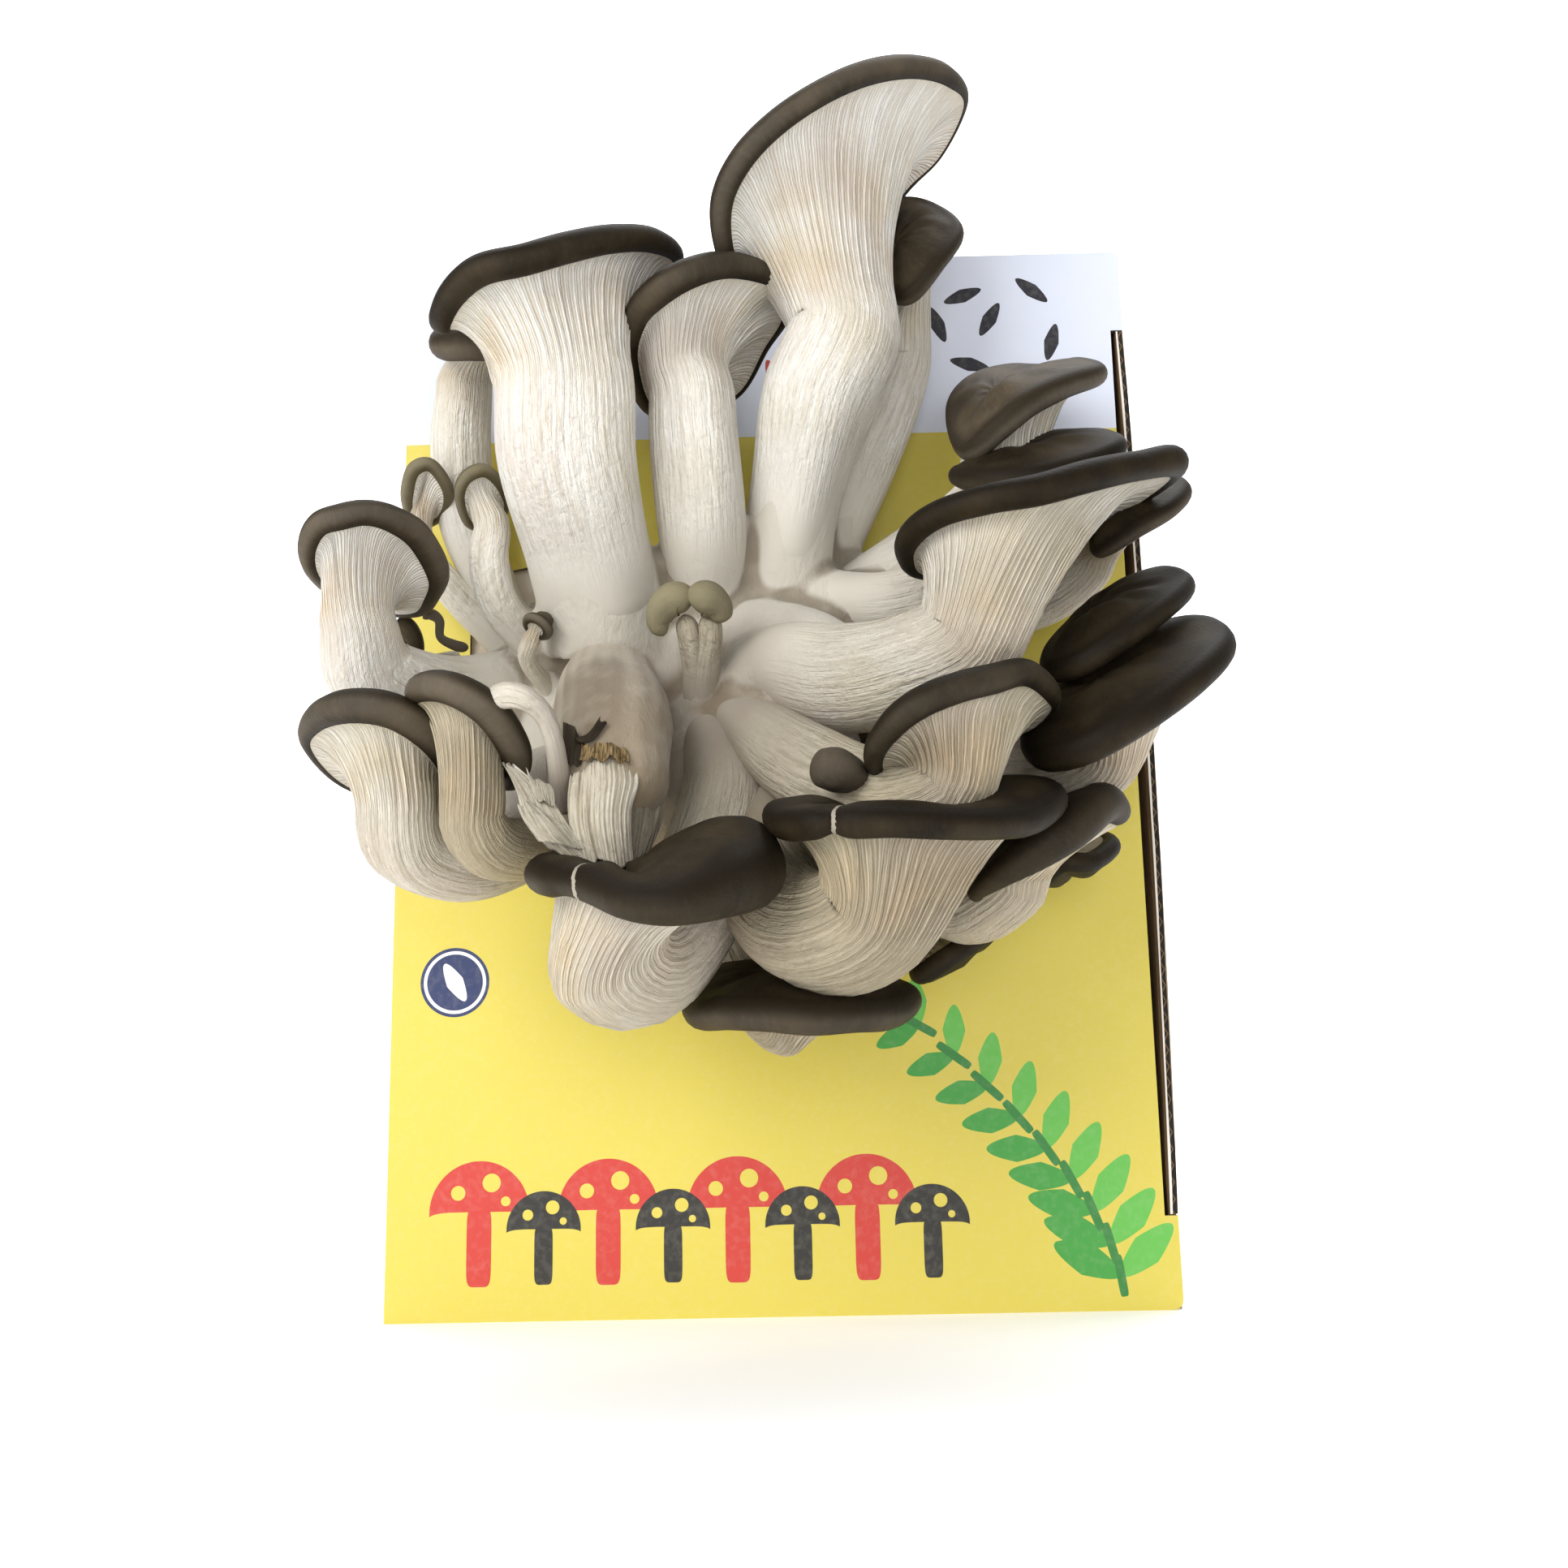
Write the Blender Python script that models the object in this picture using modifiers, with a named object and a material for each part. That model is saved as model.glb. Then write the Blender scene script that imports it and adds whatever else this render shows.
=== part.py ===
"""An oyster mushroom grow kit: an upright corrugated box, the block of growing
medium inside it, and the cluster of mushrooms that grows through the hole in its lid.

Sizes in the tables are millimetres. The frame has its origin at the middle of the
box's bottom face, +Z up, +X to the right, and the lid faces -Y. A place on the
cluster is written (x, out, z), where out is the distance in front of the lid.
"""
import math

import bmesh
import bpy
import numpy as np
from mathutils import Vector
from mathutils.bvhtree import BVHTree

MM = 0.001

# The box
BOX_WIDTH = 165.0
BOX_DEPTH = 121.0
BOX_HEIGHT = 236.0
BOARD = 1.6              # E-flute corrugated board
GAP = 0.3                # between pieces that touch
LID_CORNER = 2.0         # radius of the lid's two right corners
LID_STEP = 2.8           # the lid's right edge is set back this far
STEP_LOW = 18.8          # where the set-back edge starts and stops
STEP_HIGH = 216.5
SIDE_BOW = 1.2           # how far the right side's free edge bows out
BOW_DEPTH = 14.0         # how far back from the lid the bow reaches
FLAP_LENGTH = 38.0       # tuck flap that goes into the box at the right
HOLE_CENTRE = (-13.0, 130.0)
HOLE_SIZE = (108.0, 66.0)
HOLE_RADIUS = 14.0

# The block of growing medium
BLOCK_LEFT = -79.0
BLOCK_RIGHT = 74.0
BLOCK_HEIGHT = 228.0
BLOCK_CORNER = 9.0

# Facets of the round pieces
CAP_SIDES = 12
STEM_SIDES = 10
STEM_RINGS = 5
SMALL_SIDES = 8
SMALL_RINGS = 4
SHRINK = 2.5             # least thickness of a cap between its top and its gills

COLOURS = {
    "print_yellow": ((0.72, 0.55, 0.10), 0.55),
    "board_brown": ((0.36, 0.24, 0.13), 0.85),
    "bagged_medium": ((0.62, 0.55, 0.44), 0.45),
    "white_mycelium": ((0.76, 0.73, 0.67), 0.85),
    "pale_flesh": ((0.74, 0.68, 0.58), 0.7),
    "grey_skin": ((0.085, 0.066, 0.052), 0.5),
    "young_skin": ((0.20, 0.18, 0.13), 0.55),
    "withered": ((0.10, 0.06, 0.04), 0.8),
}

# Each mushroom: the stem's centre line as (x, out, z, radius), the cap's centre as
# (x, out, z), the two half-axes of its rim as steps (dx, dout, dz), the thickness of
# its rolled edge, and how far the gills swing out under the rim.
MUSHROOMS = {
    "tall": dict(
        stem=[(3, 18, 150, 9), (7, 27, 170, 9.7), (11, 31, 187, 11.5), (17, 33, 203, 11.5)],
        centre=(20, 32, 239), long=(24, -14, 21), short=(-9, 27, -6), edge=5.0, swing=0.75),
    "thick": dict(
        stem=[(-33, 22, 140, 13), (-36, 33, 156, 12.5), (-39, 42, 172, 13), (-39, 46, 188, 12.5)],
        centre=(-41, 42, 207), long=(22, -2, 9), short=(2, 22, -7), edge=6.0, swing=0.6),
    "middle": dict(
        stem=[(-13, 20, 146, 8.5), (-13, 31, 163, 9), (-14, 34, 179, 9), (-15, 36, 190, 8.5)],
        centre=(-11, 32, 205), long=(14, -8, 8), short=(1, 24, -1), edge=5.0, swing=0.7),
    "shy": dict(
        stem=[(-54, 8, 144, 3), (-65, 8, 164, 4), (-66, 12, 184, 6), (-64, 13, 197, 5.5)],
        centre=(-66, 18, 212), long=(11, -4, 4), short=(2, 13, -4), edge=4.0, swing=0.9),
    "hidden": dict(
        stem=[(9, 10, 152, 6.5), (18, 10, 175, 8), (26, 10, 194, 8), (30, 10, 208, 7.5)],
        centre=(33, 15, 231), long=(9, -2, 5), short=(0, 9, -9), edge=4.5, swing=0.9),
    "left": dict(
        stem=[(-50, 12, 134, 6.5), (-66, 22, 127.5, 8.5), (-78.5, 35, 129, 9), (-80.5, 42, 138, 7.4)],
        centre=(-78, 42, 151), long=(11, -4, -1), short=(4, 18, 1), edge=5.0, swing=0.7),
    "low_left": dict(
        stem=[(-41, 20, 103, 7), (-50.5, 32, 94, 7.4), (-59, 44, 89.5, 7.6), (-66, 54, 91, 7.4),
              (-67, 60, 97, 7.1)],
        centre=(-70, 58, 110), long=(13, 2, -3), short=(2, 18, 2), edge=5.2, swing=0.6),
    "low_inner": dict(
        stem=[(-33.5, 26, 102, 6), (-39.5, 38, 96.5, 6), (-44.5, 52, 91, 6), (-50, 63, 90, 5.8),
              (-52, 68, 95, 5.5)],
        centre=(-52, 66, 111), long=(10, 6, -8), short=(0, 12, 2), edge=5.2, swing=0.6),
    "bottom_left": dict(
        stem=[(-15, 28, 121, 6.5), (-11, 34, 110, 8.5), (-9, 40, 99, 9.5), (-13.5, 50, 82, 10),
              (-21.5, 60, 69.5, 10.5), (-27, 66, 70, 12)],
        centre=(-18, 72, 82), long=(19, 2, 3), short=(0, 20, -8), edge=6.0, swing=0.6),
    "bottom": dict(
        stem=[(-8.5, 26, 92, 7), (-8, 22, 75.5, 6.5), (-2, 28, 64.5, 5.5), (3.5, 36, 61.5, 5.5)],
        centre=(6, 39, 60), long=(21, -2, 1), short=(0, 13, -2), edge=9.0, swing=0.7),
    "bottom_right": dict(
        stem=[(0, 30, 104, 9.5), (-0.5, 45, 88, 10.5), (7.5, 65, 73, 10.5), (18.5, 73, 76, 10.5)],
        centre=(26, 75, 91), long=(22, 0, 1), short=(-1, 15, -2), edge=5.4, swing=0.6),
    "low_right": dict(
        stem=[(14, 28, 103, 8), (22, 28, 95, 8), (30, 32, 84.5, 7.4), (37.5, 38, 79.5, 7),
              (43, 44, 81.5, 6.6), (46, 47, 84.5, 6.2)],
        centre=(52, 50, 91), long=(11, 0, 7), short=(-1, 14, -4), edge=5.6, swing=0.9),
    "low_far": dict(
        stem=[(24, 10, 108, 4.5), (44, 11, 88, 5), (58, 15, 85, 5)],
        centre=(63, 22, 93), long=(7, 0, 2), short=(-2, 12, -4), edge=4.0, swing=0.9),
    "bottom_far": dict(
        stem=[(10, 9, 101, 5.5), (14, 9, 93.5, 5.5), (23, 11, 82.5, 5.5), (31, 16, 74.5, 5)],
        centre=(38, 26, 71), long=(9, 0, 5), short=(-1, 12, -4), edge=4.0, swing=0.9),
    "centre": dict(
        stem=[(-10, 28, 122.5, 5.5), (-2, 38, 114.5, 7.2), (8.5, 50, 104.5, 8.8),
              (17, 58, 98.5, 8.9), (25, 65, 95.5, 8.6), (31.5, 67, 98, 8.3)],
        centre=(35, 70, 110), long=(15, -5, 5), short=(-3, 19, -3), edge=5.2, swing=0.6),
    "right": dict(
        stem=[(20, 22, 116, 8), (40, 22, 110, 8), (55, 29, 106, 7.5), (66, 38, 110, 7)],
        centre=(70, 46, 119), long=(15, 0, 10), short=(-1, 14, -8), edge=6.5, swing=0.9),
    "right_upper": dict(
        stem=[(22, 10, 133, 6.5), (46, 10, 123, 6), (62, 19, 117, 6), (67, 27, 124, 6)],
        centre=(71, 32, 137), long=(12, 0, 8), short=(-1, 10, -6), edge=6.0, swing=0.9),
    "right_small": dict(
        stem=[(18, 8, 146, 5), (44, 8, 146, 5.5), (60, 12, 149, 5.5), (69, 18, 156, 5)],
        centre=(79, 24, 162), long=(9, 0, 7), short=(-2, 12, -8), edge=4.4, swing=0.9),
    "broad": dict(
        stem=[(-7.5, 30, 126, 6), (3, 36, 128, 9), (15, 42, 124.5, 10.5), (27, 49, 124.5, 10),
              (39, 55, 129, 10)],
        centre=(53, 54, 153), long=(26, -2, 7), short=(-5, 26, -6), edge=5.4, swing=0.6),
    "broad_far": dict(
        stem=[(8, 20, 146, 7), (29, 25, 145, 7), (46, 28, 152, 7), (53, 30, 159, 7)],
        centre=(60, 30, 173), long=(18, -2, 0), short=(-4, 22, -5), edge=4.6, swing=0.9),
    "upper_right": dict(
        stem=[(14, 12, 148, 6), (29, 16, 157, 6), (42, 22, 163, 7), (48, 26, 168, 8)],
        centre=(56, 26, 186), long=(16, 0, 7), short=(-1, 16, -11), edge=4.6, swing=0.9),
}

# Mushrooms too small to need a stem of their own
SMALL_MUSHROOMS = {
    "button_a": dict(
        stem=[(-52, 10, 136, 3.5), (-67, 10, 152, 3.5), (-74, 12, 161, 3), (-76, 14, 167, 3)],
        centre=(-73, 16, 175), long=(4, -2, -2), short=(1, 7, 2), edge=3.0, swing=0.9),
    "button_b": dict(
        stem=[(-46, 18, 135, 4), (-55, 27, 145, 4), (-57, 31, 154, 4), (-56, 33, 161, 3.5)],
        centre=(-58, 33, 167), long=(3.5, -2, 2), short=(1, 8, 1), edge=3.0, swing=0.9),
    "twin_a": dict(
        stem=[(-11, 28, 128, 3), (-14.5, 39, 132, 2.6), (-18, 43, 136.5, 2.6)],
        centre=(-19, 44, 141), long=(3.6, 0, 0), short=(0, 6, -4), edge=2.4, swing=0.8),
    "twin_b": dict(
        stem=[(-5, 28, 125, 3), (-8, 40, 130, 2.6), (-8.6, 43, 136, 2.6)],
        centre=(-8.2, 45, 140), long=(3.4, 0, 0), short=(0, 6, -4), edge=2.4, swing=0.8),
}

# Pieces without a rolled cap: centre line as (x, out, z, radius)
TUBES = {
    "stem_torn": [(-32, 24, 131, 8.6), (-31, 38, 122, 10.4), (-29, 51, 113, 11.8),
                  (-28.3, 60, 102.7, 11.2), (-26.5, 63, 92.4, 9.5)],
    "curl_pale": [(-36, 78, 97, 2.6), (-36, 79, 104, 3), (-38, 79, 111, 3.4),
                  (-43, 79, 114.5, 3.6), (-47.5, 77, 112, 2.6)],
    "sprig_withered": [(-56, 17, 141, 2), (-65, 22, 143, 1.6), (-69, 24, 146, 1.3),
                       (-70.5, 25, 150, 1)],
    "curl_dark": [(-71, 16, 138, 2.2), (-74.5, 19, 139, 2.2), (-76, 21, 142.5, 2.2),
                  (-78.5, 23, 142.5, 1.8)],
    "button_tiny": [(-40, 20, 124, 3), (-45, 32, 130, 2.6), (-45, 36, 135, 2.6),
                    (-43.5, 38, 138, 3.2)],
    "bud_dark": [(17, 66, 100, 3), (14, 70, 100.5, 4.5), (10, 73, 100, 3)],
    "cap_far": [(45, 30, 119, 2.4), (50, 33, 120, 3.6), (55, 36, 122, 2.4)],
}

# Outline of the torn cap's remains, seen from the front, as (x, z)
TORN_OUTLINE = [(-20, 103), (-27, 106.5), (-33, 104.5), (-34, 96), (-38, 99), (-45.5, 103.5),
                (-43.5, 98), (-44.5, 95), (-40, 89.5), (-33, 87), (-24, 84.5), (-18.5, 89)]
TORN_OUT = (69.5, 75.5)

# The swollen foot that fills the hole: rings as (out, half width, half height, x, z)
FOOT = [(-1.6, 52, 31, -13, 130), (0.3, 52, 31, -13, 130), (0.6, 55, 34, -13, 128),
        (8, 53, 33, -12, 128), (17, 46, 29, -11, 127), (25, 35, 22, -10, 127),
        (31, 20, 12, -9, 127)]
FOOT_SIDES = 24

# Thick arms of the foot, where several stems leave it together: (x, out, z, radius)
ARMS = [
    [(-10, 20, 120, 16), (-12, 28, 105, 16), (-12, 33, 90, 13)],
    [(-4, 20, 122, 16), (0, 34, 110, 16), (3, 44, 103, 12)],
    [(-6, 20, 128, 16), (12, 25, 123, 15), (22, 26, 117, 12)],
    [(-6, 18, 134, 14), (10, 17, 143, 12), (18, 17, 147, 9)],
]


def unit(vectors):
    """The same vectors with length one."""
    vectors = np.asarray(vectors, float)
    return vectors / np.maximum(np.linalg.norm(vectors, axis=-1, keepdims=True), 1e-12)


def place(point):
    """A place (x, out, z) on the cluster as a point of the frame, still in mm."""
    return np.array([point[0], -BOX_DEPTH / 2 - point[1], point[2]], float)


def step(vector):
    """A direction (dx, dout, dz) as a vector of the frame."""
    return np.array([vector[0], -vector[1], vector[2]], float)


def smooth_line(points, count, heading=None):
    """Evenly spaced samples of a Catmull-Rom curve through rows (x, y, z, radius), which
    leans towards a heading at its end, and the curve's directions there."""
    beyond = 2 * points[-1] - points[-2]
    if heading is not None:
        beyond[:3] = points[-1, :3] + heading * np.linalg.norm((beyond - points[-1])[:3])
    rows = np.vstack([2 * points[0] - points[1], points, beyond])
    lengths = np.linalg.norm(np.diff(points[:, :3], axis=0), axis=1)
    reached = np.concatenate([[0.0], np.cumsum(lengths)])
    wanted = np.linspace(0.0, reached[-1], count)
    k = np.clip(np.searchsorted(reached, wanted, side="right") - 1, 0, len(lengths) - 1)
    u = ((wanted - reached[k]) / lengths[k])[:, None]
    a, b, c, d = rows[k], rows[k + 1], rows[k + 2], rows[k + 3]
    square = 2 * a - 5 * b + 4 * c - d
    cubic = 3 * b - a - 3 * c + d
    line = 0.5 * (2 * b + (c - a) * u + square * u ** 2 + cubic * u ** 3)
    slope = (c - a) + 2 * square * u + 3 * cubic * u ** 2
    return line, unit(slope[:, :3])


def carried_axes(tangents, last):
    """Two normals at each tangent of a path, matched to a direction at its far end."""
    first = np.zeros_like(tangents)
    first[-1] = unit(last - np.dot(last, tangents[-1]) * tangents[-1])
    for i in range(len(tangents) - 2, -1, -1):
        first[i] = unit(first[i + 1] - np.dot(first[i + 1], tangents[i]) * tangents[i])
    return first, np.cross(tangents, first)


def round_of(sides):
    """Cosines and sines of evenly spaced angles, as columns."""
    angles = np.linspace(0.0, 2.0 * math.pi, sides, endpoint=False)
    return np.cos(angles)[:, None], np.sin(angles)[:, None]


def turned(vector, start, end):
    """A vector under the smallest turn that takes one unit direction to another."""
    both = start + end
    return vector - np.dot(vector, both) / (1.0 + np.dot(start, end)) * both \
        + 2.0 * np.dot(vector, start) * end


def tube_rings(rows, sides, count, shape=None):
    """Rings of a tube along a centre line, and its direction at the far end. With a
    cap's shape, the rings' first point looks along the rim's long axis."""
    points = np.array([[*place(row[:3]), row[3]] for row in rows])
    heading = cap_normal(shape, points[-1, :3]) if shape else None
    line, tangents = smooth_line(points, count, heading)
    last = np.array([1.0, 0.1, 0.2])
    if shape:
        last = turned(step(shape["long"]), heading, tangents[-1])
    first, second = carried_axes(tangents, last)
    if shape and np.dot(np.cross(step(shape["long"]), step(shape["short"])), heading) < 0:
        second = -second
    cosines, sines = round_of(sides)
    rings = [p[:3] + p[3] * (cosines * a + sines * b) for p, a, b in zip(line, first, second)]
    return rings, tangents[-1]


def cap_normal(shape, throat):
    """The direction square to a cap's rim, pointing away from the stem."""
    normal = unit(np.cross(step(shape["long"]), step(shape["short"])))
    if np.dot(normal, place(shape["centre"]) - throat) < 0:
        return -normal
    return normal


def cap_rings(shape, throat, tangent, flare=3, lip=2, top=2):
    """Rings of a cap: from the throat out along the gills, round the rolled edge, and in
    over the top to one last ring round its middle."""
    centre = place(shape["centre"])
    long, short = step(shape["long"]), step(shape["short"])
    middle = throat.mean(axis=0)
    normal = cap_normal(shape, middle)
    cosines, sines = round_of(len(throat))
    outward = unit(cosines * long + sines * short)
    half = shape["edge"] / 2
    rim = centre + cosines * long + sines * short - normal * half
    reach = np.linalg.norm(rim - throat, axis=1)[:, None]
    rise = np.maximum((rim - throat) @ normal, 1.0)[:, None]
    leave = tangent * np.minimum(reach, 2.0 * rise)
    arrive = unit(outward - 0.35 * normal) * reach * shape["swing"]
    rings = [throat]
    for u in np.linspace(0.0, 1.0, flare + 1)[1:]:
        start, end = 2 * u ** 3 - 3 * u ** 2 + 1, 3 * u ** 2 - 2 * u ** 3
        rings.append(start * throat + (u ** 3 - 2 * u ** 2 + u) * leave
                     + end * rim + (u ** 3 - u ** 2) * arrive)
    gills = np.array(rings)
    for a in np.linspace(0.0, math.pi, lip + 1)[1:]:
        rings.append(rim + normal * half + half * (outward * math.sin(a) - normal * math.cos(a)))
    edge = rings[-1]
    foot = middle - np.dot(middle - centre, normal) * normal
    offset = 0.55 * (foot - centre)
    limit = 0.4 * min(np.linalg.norm(long), np.linalg.norm(short))
    navel = centre + offset * min(1.0, limit / max(np.linalg.norm(offset), 1e-6))
    dip = 0.3 * abs(np.dot(middle - centre, normal))
    for v in np.linspace(0.0, 1.0, top + 1)[1:-1]:
        flat = (edge - half * normal) * (1 - v) + navel * v
        height = half - dip * (3 * v ** 2 - 2 * v ** 3) + 1.5 * math.sin(math.pi * v)
        height = np.maximum(height, gill_height(flat, gills, navel, centre, normal) + SHRINK)
        rings.append(flat + height[:, None] * normal)
    low = (rings[-1] - centre) @ normal
    rings.append(navel + normal * min(half - dip, low.min() - 0.3))
    return rings


def gill_height(flat, gills, navel, centre, normal):
    """How high the gills stand, above the rim's plane, below each point of one ring."""
    away = gills - navel
    away = np.linalg.norm(away - (away @ normal)[..., None] * normal, axis=2)
    heights = (gills - centre) @ normal
    distance = np.linalg.norm(flat - navel, axis=1)
    result = np.empty(len(flat))
    for j in range(len(flat)):
        order = np.argsort(away[:, j])
        result[j] = np.interp(distance[j], away[order, j], heights[order, j])
    return result


def lofted(name, rings, colour):
    """One closed object from rings of points; a single point closes an end, a ring is
    closed by a flat face."""
    mesh = bpy.data.meshes.new(name)
    shape = bmesh.new()
    rows = [[shape.verts.new(Vector(p * MM)) for p in np.atleast_2d(ring)] for ring in rings]
    for near, far in zip(rows, rows[1:]):
        count = len(near)
        for i in range(count):
            j = (i + 1) % count
            if len(far) == 1:
                shape.faces.new((near[i], near[j], far[0]))
            else:
                shape.faces.new((near[i], near[j], far[j], far[i]))
    for row in (rows[0], rows[-1]):
        if len(row) > 1:
            shape.faces.new(row)
    bmesh.ops.recalc_face_normals(shape, faces=shape.faces[:])
    shape.to_mesh(mesh)
    shape.free()
    return node(name, mesh, colour)


def material(name):
    """The material of one colour, made once."""
    found = bpy.data.materials.get(name)
    if found:
        return found
    colour, roughness = COLOURS[name]
    found = bpy.data.materials.new(name)
    found.use_nodes = True
    shader = found.node_tree.nodes["Principled BSDF"]
    shader.inputs["Base Color"].default_value = (*colour, 1.0)
    shader.inputs["Roughness"].default_value = roughness
    return found


def node(name, mesh, colour):
    """Links a mesh as a named object with its colour."""
    obj = bpy.data.objects.new(name, mesh)
    bpy.context.scene.collection.objects.link(obj)
    mesh.materials.clear()
    mesh.materials.append(material(colour))
    return obj


def slab(name, low, high, colour="board_brown"):
    """A box between two corners in mm."""
    shape = bmesh.new()
    bmesh.ops.create_cube(shape, size=1.0)
    for vertex in shape.verts:
        vertex.co = Vector([MM * (high[i] if vertex.co[i] > 0 else low[i]) for i in range(3)])
    mesh = bpy.data.meshes.new(name)
    shape.to_mesh(mesh)
    shape.free()
    return node(name, mesh, colour)


def rounded_outline(left, bottom, right, top, radii, steps=4):
    """Corners of a rectangle turned into arcs, anticlockwise from the lower left."""
    corners = [(left, bottom, 180), (right, bottom, 270), (right, top, 0), (left, top, 90)]
    points = []
    for (x, z, start), radius in zip(corners, radii):
        if radius == 0:
            points.append((x, z))
            continue
        middle_x = x + radius if x == left else x - radius
        middle_z = z + radius if z == bottom else z - radius
        for i in range(steps + 1):
            angle = math.radians(start + 90.0 * i / steps)
            points.append((middle_x + radius * math.cos(angle),
                           middle_z + radius * math.sin(angle)))
    return points


def plate(name, outline, back, front, colour="board_brown"):
    """A flat outline in (x, z), given thickness from y = back forward to y = front."""
    mesh = bpy.data.meshes.new(name)
    shape = bmesh.new()
    rear = [shape.verts.new((x * MM, back * MM, z * MM)) for x, z in outline]
    fore = [shape.verts.new((x * MM, front * MM, z * MM)) for x, z in outline]
    count = len(outline)
    for i in range(count):
        j = (i + 1) % count
        shape.faces.new((rear[i], rear[j], fore[j], fore[i]))
    shape.faces.new(rear)
    shape.faces.new(fore)
    bmesh.ops.recalc_face_normals(shape, faces=shape.faces[:])
    shape.to_mesh(mesh)
    shape.free()
    return node(name, mesh, colour)


def bowed_strip(name, inner, outer, back, front):
    """An upright strip between two x positions, whose front edge bows to the right."""
    shape = bmesh.new()
    rings = []
    for i in range(9):
        share = i / 8.0
        z = STEP_LOW + GAP + share * (STEP_HIGH - STEP_LOW - 2.0 * GAP)
        bow = SIDE_BOW * 4.0 * share * (1.0 - share)
        corners = ((inner + bow, front), (outer + bow, front), (outer, back), (inner, back))
        rings.append([shape.verts.new((x * MM, y * MM, z * MM)) for x, y in corners])
    for low, high in zip(rings, rings[1:]):
        for j in range(4):
            k = (j + 1) % 4
            shape.faces.new((low[j], low[k], high[k], high[j]))
    shape.faces.new(rings[0])
    shape.faces.new(rings[-1])
    bmesh.ops.recalc_face_normals(shape, faces=shape.faces[:])
    mesh = bpy.data.meshes.new(name)
    shape.to_mesh(mesh)
    shape.free()
    return node(name, mesh, "board_brown")


def combine(obj, tools, operation):
    """Applies exact booleans to an object, keeps its biggest piece, deletes the tools."""
    for tool in tools:
        modifier = obj.modifiers.new("cut", "BOOLEAN")
        modifier.operation = operation
        modifier.solver = "EXACT"
        modifier.object = tool
    graph = bpy.context.evaluated_depsgraph_get()
    made = bpy.data.meshes.new_from_object(obj.evaluated_get(graph), depsgraph=graph)
    obj.modifiers.clear()
    colour = obj.data.materials[0].name
    old = obj.data
    obj.data = made
    bpy.data.meshes.remove(old)
    made.materials.clear()
    made.materials.append(material(colour))
    made.polygons.foreach_set("material_index", [0] * len(made.polygons))
    for tool in tools:
        bpy.data.objects.remove(tool, do_unlink=True)
    keep_biggest(obj)
    return obj


def keep_biggest(obj):
    """Drops every loose part of a mesh except the one with the most volume."""
    shape = bmesh.new()
    shape.from_mesh(obj.data)
    bmesh.ops.remove_doubles(shape, verts=shape.verts[:], dist=0.00001)
    waiting = set(shape.verts)
    parts = []
    while waiting:
        part = {waiting.pop()}
        edge = list(part)
        while edge:
            for link in edge.pop().link_edges:
                for vertex in link.verts:
                    if vertex in waiting:
                        waiting.remove(vertex)
                        part.add(vertex)
                        edge.append(vertex)
        parts.append(part)
    if len(parts) > 1:
        parts.sort(key=spread, reverse=True)
        spare = [vertex for part in parts[1:] for vertex in part]
        bmesh.ops.delete(shape, geom=spare, context="VERTS")
    shape.to_mesh(obj.data)
    shape.free()


def spread(part):
    """Product of the sides of a part's box, to tell the biggest part."""
    points = np.array([vertex.co for vertex in part])
    return float(np.prod(points.max(axis=0) - points.min(axis=0)))


def swollen(obj, by):
    """A copy of an object with its surface moved out by some mm, used as a cutter."""
    shape = bmesh.new()
    shape.from_mesh(obj.data)
    bmesh.ops.triangulate(shape, faces=shape.faces[:])
    shape.normal_update()
    moved = [vertex.co + vertex.normal * by * MM * vertex.calc_shell_factor()
             for vertex in shape.verts]
    for vertex, place_now in zip(shape.verts, moved):
        vertex.co = place_now
    mesh = bpy.data.meshes.new(obj.name + "_room")
    shape.to_mesh(mesh)
    shape.free()
    return node(obj.name + "_room", mesh, "withered")


def touching(one, other):
    """Whether the surfaces of two objects cross."""
    trees = []
    for obj in (one, other):
        shape = bmesh.new()
        shape.from_mesh(obj.data)
        trees.append(BVHTree.FromBMesh(shape))
        shape.free()
    return bool(trees[0].overlap(trees[1]))


def volume_of(obj):
    """The volume a closed mesh holds."""
    shape = bmesh.new()
    shape.from_mesh(obj.data)
    volume = shape.calc_volume(signed=True)
    shape.free()
    return volume


def cut_back(piece, other):
    """Cuts a piece back from another, leaving a gap. A cut that takes nearly all of the
    piece came out wrong, and is made again with a slightly wider gap."""
    for room in (1.0, 1.15, 1.3, 1.45):
        tool = swollen(other, GAP * room)
        if not touching(piece, tool):
            bpy.data.objects.remove(tool, do_unlink=True)
            return
        whole = piece.data.copy()
        before = volume_of(piece)
        combine(piece, [tool], "DIFFERENCE")
        if volume_of(piece) > 0.5 * before:
            bpy.data.meshes.remove(whole)
            return
        piece.data = whole


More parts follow.
